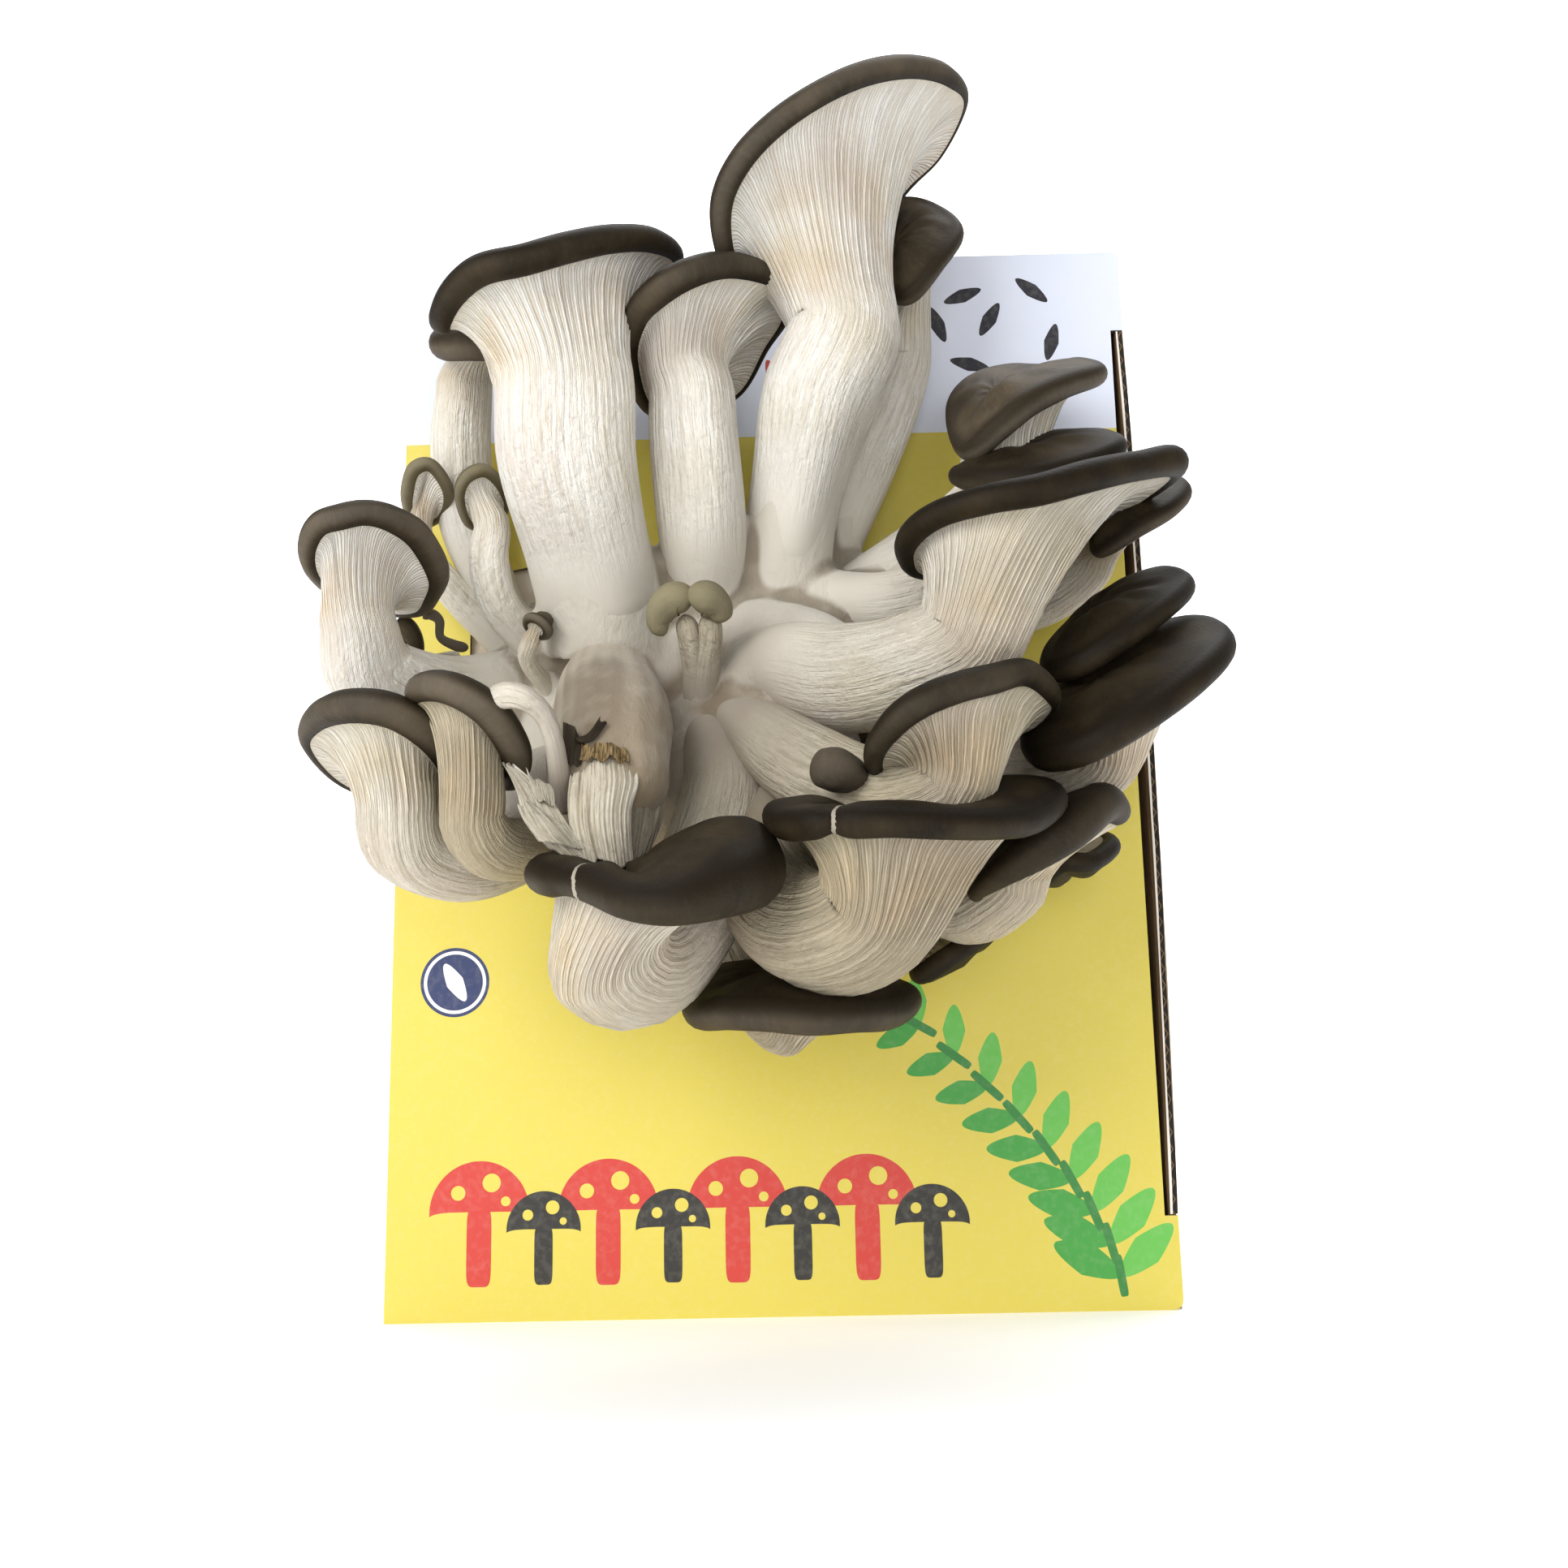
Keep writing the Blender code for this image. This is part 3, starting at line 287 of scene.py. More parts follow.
# The twins: for each its stem, then the rounded lobe of its cap
TWINS = {
    "twin_a": ([(-13.4, 32, 121, 3.4), (-13.9, 39, 127.6, 2.7), (-15, 43, 133.5, 2.4),
                (-15.8, 44.5, 137.4, 2.3)],
               [(-14.8, 46, 138.2, 2.4), (-17, 47.4, 139.6, 3.2), (-19.6, 46.6, 138.4, 3),
                (-20.8, 45.2, 135.8, 2.4), (-19.9, 44.2, 133.2, 1.5)]),
    "twin_b": ([(-12.8, 32, 120.6, 3.6), (-12.2, 39, 127, 2.9), (-11, 43, 133.4, 2.5),
                (-11, 44.5, 137.4, 2.4)],
               [(-13.6, 46.6, 138.2, 2.6), (-11.6, 47.8, 139.4, 3.5), (-9.2, 46.6, 138, 2.9),
                (-8.4, 45, 135.4, 1.9)]),
}
DARK_TUBES = ("sprig_withered", "bud_dark", "cap_far")

# What is left of the torn cap: thin sheets between a left and a right edge line, with a
# kind, how far they bow forward, the pleats across them, how ragged their ends are, and
# the count and height of the thin ribs that the gills leave on them
TORN_SHEETS = (
    dict(left=[(-34, 70, 101.9), (-34.2, 73, 95.5), (-33.5, 73, 89.9), (-31.6, 71, 84.3)],
         right=[(-23.5, 69, 103.7), (-22.1, 71.5, 99.3), (-23.3, 72, 93), (-23, 70, 83.4)],
         kind="pale", bow=2, pleats=2, fold=0.5, ragged=0.1, ribs=(13, 0.55)),
    dict(left=[(-24.4, 68, 101.5), (-24.4, 69, 93), (-25, 68.4, 84.8)],
         right=[(-18.2, 58, 102.5), (-18.6, 61, 95), (-21.4, 64, 86)],
         kind="grey", bow=1.4, pleats=3, fold=0.35, ragged=0.1, ribs=(5, 0.3)),
    dict(left=[(-46, 70, 103.6), (-43.2, 72, 97.5), (-41.6, 73, 92.3), (-37, 71, 86.8)],
         right=[(-44.1, 72, 102.8), (-37.5, 73, 96.6), (-33, 73.6, 90), (-27.5, 71.6, 83.8)],
         kind="pale", bow=0.9, pleats=1, fold=0.5, ragged=0.12, ribs=(4, 0.12)),
    dict(left=[(-43, 74, 95.6), (-41.6, 74.6, 92.3), (-38.8, 74, 88.2)],
         right=[(-40, 73.6, 95.4), (-35, 74.6, 91.5), (-31, 73, 87)],
         kind="pale", bow=1.3, pleats=1, fold=0.4, ragged=0.2, ribs=(3, 0.12)),
    dict(left=[(-41.6, 72.6, 102), (-40.6, 73.6, 98.4), (-39.4, 74, 95.2)],
         right=[(-38.2, 73, 99.8), (-36.6, 74.2, 97.6), (-36.2, 74, 94.2)],
         kind="pale", bow=0.6, pleats=1, fold=0.3, ragged=0.35, ribs=(2, 0.1)),
    dict(left=[(-35.8, 68.5, 111.4), (-35.4, 70.1, 106), (-34.2, 70.9, 100.5)],
         right=[(-31.6, 68.5, 108.4), (-32, 70.5, 104.6), (-32.6, 70.9, 100.8)],
         kind="dark", bow=0.5, pleats=1, fold=0.3, ragged=0.25, ribs=(2, 0.1)),
    dict(left=[(-33.4, 70.5, 107.2), (-31, 70.5, 108.2), (-28.8, 69.9, 111.6)],
         right=[(-32.8, 71.1, 106.4), (-30, 70.7, 107), (-27.6, 69.9, 110.2)],
         kind="dark", bow=0.3, pleats=1, fold=0.2, ragged=0.15, ribs=(2, 0.1)),
    dict(left=[(-32, 71, 106.4), (-32.2, 73, 102.4)],
         right=[(-23.8, 70, 105.2), (-23.4, 72, 101.8)],
         kind="brown", bow=1.4, pleats=4, fold=0.4, ragged=0.35, ribs=(14, 0.35)),
)
TORN_KINDS = {"pale": (0, 0.75, 0.5), "grey": (0, 1.7, 0.5), "dark": (1, 0.5, 0.75),
              "brown": (2, 0.5, 0.5)}

# Where caps are torn: the middle of each arc as (x, out, z), and its radius. Only the
# arc's left end shows.
TEARS = (((-21.5, 86, 79.8), 10), ((20.5, 90, 88), 9.5), ((50.7, 64, 121.5), 5))
TEAR_HALF = 0.0003        # half a tear's width, in metres
TEAR_WOBBLE = 0.0006      # how far its line strays, in metres

# The swollen foot that fills the hole: rings as (out, half width, half height, x, z)
FOOT = [(-1.6, 52, 31, -13, 130), (0.3, 52, 31, -13, 130), (0.6, 55, 34, -13, 128),
        (8, 53, 33, -12, 128), (17, 46, 29, -11, 127), (25, 35, 22, -10, 127),
        (31, 20, 12, -9, 127)]
ARMS = [
    [(-10, 20, 121, 14), (-13, 30, 108, 12), (-16, 38, 97, 7)],
    [(-2, 20, 124, 14), (6, 30, 117, 11), (13, 39, 110, 6.5)],
    [(-2, 22, 134, 13), (9, 31, 131, 10.5), (17, 38, 128, 6.5)],
    [(-6, 18, 136, 13), (10, 16, 143, 10), (20, 16, 147, 5.5)],
    [(-26, 14, 138, 14), (-33, 20, 140, 12.5), (-36, 26, 147, 8)],
    [(-16, 14, 140, 12), (-13, 22, 147, 7)],
    [(-24, 12, 128, 14), (-38, 13, 128, 12), (-51, 14, 131, 7)],
    [(-22, 14, 118, 10), (-36, 26, 110, 9), (-50, 38, 105, 6)],
]


def linear(code):
    """An sRGB hex colour as linear RGBA."""
    parts = np.array([int(code[i:i + 2], 16) for i in (1, 3, 5)]) / 255.0
    parts = np.where(parts <= 0.04045, parts / 12.92, ((parts + 0.055) / 1.055) ** 2.4)
    return (*[float(part) for part in parts], 1.0)


# ---------------------------------------------------------------- shapes

def unit(vectors):
    """The same vectors with length one."""
    vectors = np.asarray(vectors, float)
    return vectors / np.maximum(np.linalg.norm(vectors, axis=-1, keepdims=True), 1e-9)


def place(point):
    """A place (x, out, z) on the cluster as a point of the frame, still in mm."""
    return np.array([point[0], LID_FACE - point[1], point[2]], float)


def placed(rows):
    """Rows that begin with (x, out, z), with those as points of the frame."""
    return np.array([[*place(row[:3]), *row[3:]] for row in rows])


def step(vector):
    """A direction (dx, dout, dz) as a vector of the frame."""
    return np.array([vector[0], -vector[1], vector[2]], float)


def smooth_line(points, count, heading=None):
    """Evenly spaced samples of a Catmull-Rom curve through rows (x, y, z, radius), which
    leans towards a heading at its end, and the curve's directions there."""
    beyond = 2 * points[-1] - points[-2]
    if heading is not None:
        beyond[:3] = points[-1, :3] + heading * np.linalg.norm((beyond - points[-1])[:3])
    rows = np.vstack([2 * points[0] - points[1], points, beyond])
    lengths = np.linalg.norm(np.diff(points[:, :3], axis=0), axis=1)
    reached = np.concatenate([[0.0], np.cumsum(lengths)])
    wanted = np.linspace(0.0, reached[-1], count)
    k = np.clip(np.searchsorted(reached, wanted, side="right") - 1, 0, len(lengths) - 1)
    u = ((wanted - reached[k]) / lengths[k])[:, None]
    a, b, c, d = rows[k], rows[k + 1], rows[k + 2], rows[k + 3]
    square = 2 * a - 5 * b + 4 * c - d
    cubic = 3 * b - a - 3 * c + d
    line = 0.5 * (2 * b + (c - a) * u + square * u ** 2 + cubic * u ** 3)
    slope = (c - a) + 2 * square * u + 3 * cubic * u ** 2
    return line, unit(slope[:, :3])


def closed_line(points, count):
    """A closed Catmull-Rom curve through rows of any width, sampled evenly by length."""
    u = np.linspace(0.0, 1.0, 33)[:-1, None]
    spans = []
    for i in range(len(points)):
        a, b, c, d = (points[(i + j) % len(points)] for j in (-1, 0, 1, 2))
        spans.append(0.5 * (2 * b + (c - a) * u + (2 * a - 5 * b + 4 * c - d) * u ** 2
                            + (3 * b - a - 3 * c + d) * u ** 3))
    dense = np.vstack(spans + [points[:1]])
    reached = np.concatenate([[0.0], np.cumsum(
        np.linalg.norm(np.diff(dense[:, :3], axis=0), axis=1))])
    wanted = np.linspace(0.0, reached[-1], count, endpoint=False)
    return np.stack([np.interp(wanted, reached, column) for column in dense.T], axis=1)


def carried_axes(tangents, last):
    """Two normals at each tangent of a path, matched to a direction at its far end."""
    first = np.zeros_like(tangents)
    first[-1] = unit(last - np.dot(last, tangents[-1]) * tangents[-1])
    for i in range(len(tangents) - 2, -1, -1):
        first[i] = unit(first[i + 1] - np.dot(first[i + 1], tangents[i]) * tangents[i])
    return first, np.cross(tangents, first)


def round_angles(count):
    """The angles of points spread evenly round a circle."""
    return np.linspace(0.0, 2.0 * math.pi, count, endpoint=False)


def rings_round(line, radius, first, second, angles):
    """Rings of points round the rows of a line: the row's place plus its radius times
    (cosine of the angle by the first normal plus sine by the second)."""
    cosines, sines = np.cos(angles)[:, None], np.sin(angles)[:, None]
    return line[:, None, :3] + radius[..., None] * (cosines * first[:, None]
                                                    + sines * second[:, None])


def on_cylinder(girth, angles, distance):
    """Where fibres are looked up, in mm: girth by the angle's cosine, girth by its sine,
    and the distance along the piece."""
    return np.stack([np.broadcast_to(girth * np.cos(angles), distance.shape),
                     np.broadcast_to(girth * np.sin(angles), distance.shape),
                     distance], axis=-1)


def seed_of(name):
    """A number for a piece's random draws, made from its name."""
    return sum(map(ord, name))


def turned(vector, start, end):
    """A vector under the smallest turn that takes one unit direction to another."""
    both = start + end
    return vector - np.dot(vector, both) / (1.0 + np.dot(start, end)) * both \
        + 2.0 * np.dot(vector, start) * end


def ripple(rng, around, along, waves, finest, tallest):
    """A smooth random field, seamless round a ring: a sum of sines with whole numbers of
    waves round it and any number along it, scaled to about -1 to 1."""
    total = 0.0
    for _ in range(waves):
        turns = rng.integers(1, finest + 1)
        rise = rng.uniform(-tallest, tallest)
        total = total + np.sin(turns * around + rise * along + rng.uniform(0, 2 * math.pi))
    return total / math.sqrt(waves)


def blend(low, high, value):
    """A smooth step from 0 at low to 1 at high."""
    t = np.clip((value - low) / (high - low), 0.0, 1.0)
    return t * t * (3.0 - 2.0 * t)


def rim_of(shape, columns):
    """The middle of a cap's rolled edge, as places with the edge's thickness: a closed
    curve through its control points, or the centre plus the angle's cosine by one half-axis
    and its sine by the other."""
    if "rim" in shape:
        return closed_line(placed(shape["rim"]), columns)
    angles = round_angles(16)[:, None]
    places = place(shape["centre"]) + np.cos(angles) * step(shape["long"]) \
        + np.sin(angles) * step(shape["short"])
    return closed_line(np.hstack([places, np.full_like(angles, shape["edge"])]), columns)


def height_under(flat, gills, navel, centre, normal):
    """How high the gills stand under each point of the cap's top: the gill line of the
    same column is looked up by its distance from the cap's middle."""
    away = gills - navel
    away = np.linalg.norm(away - (away @ normal)[..., None] * normal, axis=-1)
    away = np.maximum.accumulate(away, axis=0)
    heights = (gills - centre) @ normal
    wanted = flat - navel
    wanted = np.linalg.norm(wanted - (wanted @ normal)[..., None] * normal, axis=-1)
    above = (away[None] <= wanted[:, None]).sum(axis=1)
    near = np.clip(above - 1, 0, len(away) - 2)
    low = np.take_along_axis(away, near, 0)
    high = np.take_along_axis(away, near + 1, 0)
    share = np.clip((wanted - low) / np.maximum(high - low, 1e-6), 0.0, 1.0)
    return np.take_along_axis(heights, near, 0) * (1 - share) \
        + np.take_along_axis(heights, near + 1, 0) * share


def mushroom_grid(shape, seed, settings, rows):
    """One mushroom as a grid of points, a row for each ring from the stem's foot to the
    cap's middle. The stem is a tube along its centre line. The gills are Hermite curves
    from its end to the rolled edge. The edge is a part circle, and the top is a blend
    from it to the cap's middle, kept clear of the gills. Blades stand up along the gills
    and fade down the stem. Also returns, for each point, how far along it is (0 to 1
    stem, to 2 gills, to 3 edge, to 4 top), its blade height and its fibre place."""
    rng = np.random.default_rng(seed)
    stem_rows, gill_rows, edge_rows, top_rows = rows
    columns = GILL_POINTS * shape["gills"]
    angles = round_angles(columns)
    rim = rim_of(shape, columns)
    edge, half = rim[:, :3], rim[:, 3:4] / 2
    centre = edge.mean(axis=0)
    stem = placed(shape["stem"])
    arms = edge - centre
    normal = unit(np.cross(arms, np.roll(arms, -1, axis=0)).sum(axis=0))
    if np.dot(normal, centre - stem[-1, :3]) < 0:
        normal = -normal
    line, tangents = smooth_line(stem, stem_rows, normal)
    last = turned(unit(arms[0]), normal, tangents[-1])
    first, second = carried_axes(tangents, last)
    if np.dot(np.cross(arms[0], arms[columns // 4]), normal) < 0:
        second = -second

    # Stem
    up = np.linspace(0.0, 1.0, stem_rows)[:, None]
    lumps = 1.0 + 0.05 * ripple(rng, angles[None], up, 6, 4, 5.0)
    radius = line[:, 3:4] * lumps * (0.8 + 0.2 * blend(0.0, 0.16, up))
    tube = rings_round(line, radius, first, second, angles)
    throat = tube[-1]

    # Local frame of the rolled edge
    along_rim = unit(np.roll(edge, -1, axis=0) - np.roll(edge, 1, axis=0))
    outward = np.cross(along_rim, normal)
    outward = outward * np.sign(np.sum(outward * arms))
    radial = arms - np.sum(arms * along_rim, axis=1, keepdims=True) * along_rim
    outward = outward + 0.35 * unit(radial)
    outward = unit(outward - np.sum(outward * along_rim, axis=1, keepdims=True) * along_rim)
    above = np.cross(outward, along_rim)
    above = above * np.sign(above @ normal)[:, None]

    # Gills
    under = edge + half * (outward * math.sin(TUCK) - above * math.cos(TUCK))
    reach = np.linalg.norm(under - throat, axis=1)[:, None]
    rise = np.maximum((under - throat) @ normal, 1.0)[:, None]
    leave = tangents[-1] * np.minimum(reach, 2.0 * rise)
    arrive = unit(0.9 * outward - 0.42 * above) * reach * shape["swing"]
    u = np.linspace(0.0, 1.0, gill_rows + 1)[1:, None, None]
    gills = (2 * u ** 3 - 3 * u ** 2 + 1) * throat + (u ** 3 - 2 * u ** 2 + u) * leave \
        + (3 * u ** 2 - 2 * u ** 3) * under + (u ** 3 - u ** 2) * arrive

    # Rolled edge and top
    a = np.linspace(TUCK, math.pi, edge_rows + 1)[1:, None, None]
    lip = edge + half * (outward * np.sin(a) - above * np.cos(a))
    middle = throat.mean(axis=0)
    foot = middle - np.dot(middle - centre, normal) * normal
    offset = 0.55 * (foot - centre)
    limit = 0.4 * np.linalg.norm(arms, axis=1).min()
    navel = centre + offset * min(1.0, limit / max(np.linalg.norm(offset), 1e-6))
    dip = shape.get("dip", 0.3) * abs(np.dot(middle - centre, normal))
    v = np.linspace(0.0, 1.0, top_rows + 1)[1:, None, None] * 0.97
    flat = edge * (1 - v) + navel * v
    share = v[..., 0]
    wanted = half.T - dip * (3 * share ** 2 - 2 * share ** 3) \
        + 1.5 * np.sin(math.pi * share) \
        + shape.get("crown", 0.0) * np.sqrt(1 - (1 - share) ** 2)
    wanted = wanted + 0.35 * min(1.0, shape["gills"] / 40) \
        * ripple(rng, angles[None], share, 7, 9, 7.0) * np.sin(math.pi * share)
    all_gills = np.concatenate([throat[None], gills])
    base = (flat - centre) @ normal
    least = height_under(flat, all_gills, navel, centre, normal) + LEAST_FLESH - base
    height = 0.5 * (wanted + least + np.sqrt((wanted - least) ** 2 + 0.5))
    height = np.where(share < 0.05, wanted, height)
    top = flat + height[..., None] * unit(above * (1 - v) + normal * v)

    grid = np.concatenate([tube, gills, lip, top])
    along = np.concatenate([
        np.linspace(0, 1, stem_rows), 1 + np.linspace(0, 1, gill_rows + 1)[1:],
        2 + np.linspace(0, 1, edge_rows + 1)[1:], 3 + np.linspace(0, 1, top_rows + 1)[1:]])
    along = np.repeat(along[:, None], columns, axis=1)

    # Blades of the gills: each has its own depth and ends at its own place on the stem.
    # The stem's share is lifted so that it meets the gills' 0.62 at the throat.
    gill, phase = np.divmod(np.arange(columns), GILL_POINTS)
    depth = rng.uniform(0.55, 1.1, shape["gills"])[gill]
    ends = rng.uniform(shape.get("run", 0.15), 0.85, shape["gills"])[gill]
    main = np.array([1.0, 0.34, 0.0, 0.34])[phase][None]
    late = np.array([0.0, 0.15, 0.62, 0.15])[phase][None]
    broken = 0.6 + 0.4 * ripple(rng, 3 * angles[None], 7 * along, 12, 9, 2.5)
    on_stem = 0.12 * np.clip(broken, 0.0, 1.3) * blend(0.2, 0.6, along) \
        + 0.60 * blend(ends - 0.1, np.minimum(ends + 0.5, 1.1), along)
    on_gills = 0.62 + 0.5 * np.sin(math.pi * np.clip(along - 1, 0, 1) ** 0.8)
    strength = np.where(along <= 1.0, on_stem, on_gills)
    strength = strength + (0.62 - 0.60 - 0.12) * blend(0.85, 1.0, along) * (along <= 1.0)
    strength = strength * blend(2.02, 1.93, along)
    blades = strength * depth * main \
        + strength * late * blend(1.45, 1.8, along) * rng.uniform(0.4, 1.2, columns)
    blades = np.where(along <= 2.0, blades, 0.0)
    size = min(1.0, shape["gills"] / DEEP_GILLS) * shape.get("relief", 1.0)
    sideways = 0.3 * ripple(rng, 2 * angles[None], 5 * along, 10, 14, 1.5)
    ring_step = 0.5 * (np.roll(grid, -1, axis=1) - np.roll(grid, 1, axis=1))
    grid = grid + np.where(along <= 2.0, sideways, 0.0)[..., None] * ring_step
    grid = grid + (settings.gill_depth / MM * size * blades)[..., None] * outside(grid)

    girth = GILL_SPACING * shape["gills"] / (2 * math.pi)
    steps = np.linalg.norm(np.diff(grid, axis=0), axis=2)
    distance = np.concatenate([np.zeros((1, columns)), np.cumsum(steps, axis=0)])
    return grid, along, np.clip(blades, 0.0, 1.0), on_cylinder(girth, angles, distance)


def outside(grid):
    """Unit normals of a grid of rings, pointing out of the body."""
    across = np.roll(grid, -1, axis=1) - np.roll(grid, 1, axis=1)
    onward = np.gradient(grid, axis=0)
    normals = unit(np.cross(across, onward))
    ring = grid[:8]
    middle = ring.mean(axis=1, keepdims=True)
    return normals * np.sign(np.sum(normals[:8] * (ring - middle)))


def spread(field, grid):
    """A number or a grid of values as one value for each point of a grid of points."""
    return np.broadcast_to(field, grid.shape if np.ndim(field) == 3 else grid.shape[:2])


def ring_part(grid, zones, values):
    """A closed part from rings of points in mm. Each ring joins the next with quads, and
    both ends close with a fan round their mean. zones gives a material number for each
    row of quads, values the attributes of each point, as grids or single numbers."""
    rows, columns = grid.shape[:2]
    ends = np.stack([grid[0].mean(axis=0), grid[-1].mean(axis=0)])
    i, j = np.meshgrid(np.arange(rows - 1), np.arange(columns), indexing="ij")
    nxt = (j + 1) % columns
    quads = np.stack([i * columns + j, i * columns + nxt, (i + 1) * columns + nxt,
                      (i + 1) * columns + j], axis=-1).reshape(-1, 4)
    ring = np.arange(columns)
    after = (ring + 1) % columns
    low = np.stack([ring, np.full(columns, rows * columns), after], axis=-1)
    last = (rows - 1) * columns
    high = np.stack([last + ring, last + after, np.full(columns, rows * columns + 1)], axis=-1)
    index = np.concatenate([np.repeat(zones, columns), np.full(columns, zones[0]),
                            np.full(columns, zones[-1])])
    fields = {}
    for label, field in values.items():
        field = spread(field, grid)
        tips = np.stack([field[0].mean(axis=0), field[-1].mean(axis=0)])
        fields[label] = np.concatenate([field.reshape(rows * columns, -1), tips.reshape(2, -1)])
    return np.concatenate([grid.reshape(-1, 3), ends]), quads, np.concatenate([low, high]), \
        index, fields


def sheet_part(front, back, zone, values):
    """A closed thin part between two grids of points in mm, stitched all round."""
    rows, columns = front.shape[:2]
    count = rows * columns
    number = np.arange(count).reshape(rows, columns)
    face = np.stack([number[:-1, :-1], number[:-1, 1:], number[1:, 1:], number[1:, :-1]],
                    axis=-1).reshape(-1, 4)
    edge = np.concatenate([number[0], number[1:, -1], number[-1, -2::-1], number[-2:0:-1, 0]])
    nxt = np.roll(edge, -1)
    border = np.stack([nxt, edge, edge + count, nxt + count], axis=-1)
    quads = np.concatenate([face, face[:, ::-1] + count, border])
    fields = {}
    for label, field in values.items():
        fields[label] = np.tile(spread(field, front).reshape(count, -1), (2, 1))
    return np.concatenate([front.reshape(-1, 3), back.reshape(-1, 3)]), quads, \
        np.empty((0, 3), int), np.full(len(quads), zone), fields


def mesh_from_parts(name, parts, materials):
    """One mesh object in metres from closed parts, each turned to face outwards."""
    start_at, all_quads, all_triangles = 0, [], []
    for points, quads, triangles, _, _ in parts:
        if signed_volume(points, quads, triangles) < 0:
            quads, triangles = quads[:, ::-1], triangles[:, ::-1]
        all_quads.append(quads + start_at)
        all_triangles.append(triangles + start_at)
        start_at += len(points)
    points = np.concatenate([part[0] for part in parts]) * MM
    index = np.concatenate([part[3][:len(part[1])] for part in parts]
                           + [part[3][len(part[1]):] for part in parts])
    quads, triangles = np.concatenate(all_quads), np.concatenate(all_triangles)
    mesh = bpy.data.meshes.new(name)
    mesh.vertices.add(len(points))
    mesh.vertices.foreach_set("co", points.ravel())
    loops = np.concatenate([quads.ravel(), triangles.ravel()])
    totals = np.concatenate([np.full(len(quads), 4), np.full(len(triangles), 3)])
    mesh.loops.add(len(loops))
    mesh.loops.foreach_set("vertex_index", loops)
    mesh.polygons.add(len(totals))
    mesh.polygons.foreach_set("loop_start", np.concatenate([[0], np.cumsum(totals)[:-1]]))
    mesh.polygons.foreach_set("loop_total", totals)
    for material in materials:
        mesh.materials.append(material)
    mesh.polygons.foreach_set("material_index", index.astype(np.int32))
    mesh.update(calc_edges=True)
    mesh.shade_smooth()
    for label in parts[0][4]:
        field = np.concatenate([part[4][label] for part in parts])
        vector = field.shape[1] == 3
        attribute = mesh.attributes.new(label, "FLOAT_VECTOR" if vector else "FLOAT", "POINT")
        attribute.data.foreach_set("vector" if vector else "value", field.ravel())
    return link(name, mesh)


def signed_volume(points, quads, triangles):
    """Six times the volume inside a mesh, positive when its faces point outwards."""
    fans = np.concatenate([quads[:, [0, 1, 2]], quads[:, [0, 2, 3]], triangles])
    a, b, c = (points[fans[:, k]] for k in range(3))
    return float(np.sum(a * np.cross(b, c)))


def link(name, mesh):
    """Links a mesh to the scene as an object at the origin."""
    obj = bpy.data.objects.new(name, mesh)
    bpy.context.scene.collection.objects.link(obj)
    return obj


def ready(obj, nodes):
    """Ties a finished piece to the body and hides the CAD nodes that it stands for."""
    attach(obj, "root")
    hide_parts(*nodes)
    return obj


# ---------------------------------------------------------------- materials

def start(name):
    """A material with its tree and its shader, or with None twice if it is already made."""
    found = bpy.data.materials.get(name)
    if found:
        return found, None, None
    made = bpy.data.materials.new(name)
    made.use_nodes = True
    return made, made.node_tree, made.node_tree.nodes["Principled BSDF"]


def add(tree, kind, inputs=(), out=0, **settings):
    """Adds a shader node with its settings and inputs, and gives back its output of one
    name or number, or ALL of them."""
    made = tree.nodes.new("ShaderNode" + kind)
    for key, value in settings.items():
        setattr(made, key, value)
    wire(tree, made, inputs)
    return made.outputs[out]


def wire(tree, made, inputs):
    """Sets or links a node's inputs, given in their order, or by name or number. A hex
    code stands for its colour."""
    pairs = inputs.items() if isinstance(inputs, dict) else enumerate(inputs)
    for key, value in pairs:
        if isinstance(value, bpy.types.NodeSocket):
            tree.links.new(value, made.inputs[key])
        else:
            made.inputs[key].default_value = linear(value) if isinstance(value, str) else value


def painted(tree, colour, *coats):
    """A colour under coats laid on in turn, each as the share that it covers and its own
    colour: the colour times (1 - share) plus the coat times share."""
    for share, coat in coats:
        colour = add(tree, "Mix", {0: share, 6: colour, 7: coat}, out=2, data_type="RGBA")
    return colour


def foot_colour(tree, spot):
    """White mycelium, darkened to grey-brown by painted shade towards the foot's lower side and
    its middle, where it lies in shade under the cluster: a ramp over height plus 0.8 times
    the distance aside, with clouds 22 mm across."""
    x, _, z = add(tree, "SeparateXYZ", (spot,), out=ALL)
    aside = add(tree, "Math", (x, 0.01), operation="ADD")
    aside = add(tree, "Math", (aside,), operation="ABSOLUTE")
    height = add(tree, "Math", (aside, 0.8, z), operation="MULTIPLY_ADD")
    cloud = add(tree, "TexNoise", {"Vector": spot, "Scale": 45.0, "Detail": 3.0}, out="Fac")
    height = add(tree, "Math", (cloud, 0.05, height), operation="MULTIPLY_ADD")
    colour = add(tree, "ValToRGB", (add(tree, "MapRange", (height, 0.105, 0.18)),))
    ramp = colour.node.color_ramp
    # The ramp from its dark low end up to white is painted shade
    ramp.elements[0].color, ramp.elements[1].color = linear("#564C3B"), linear("#C6C0B3")
    ramp.elements.new(0.35).color = linear("#7C7162")
    ramp.elements.new(0.62).color = linear("#A0978A")
    return colour


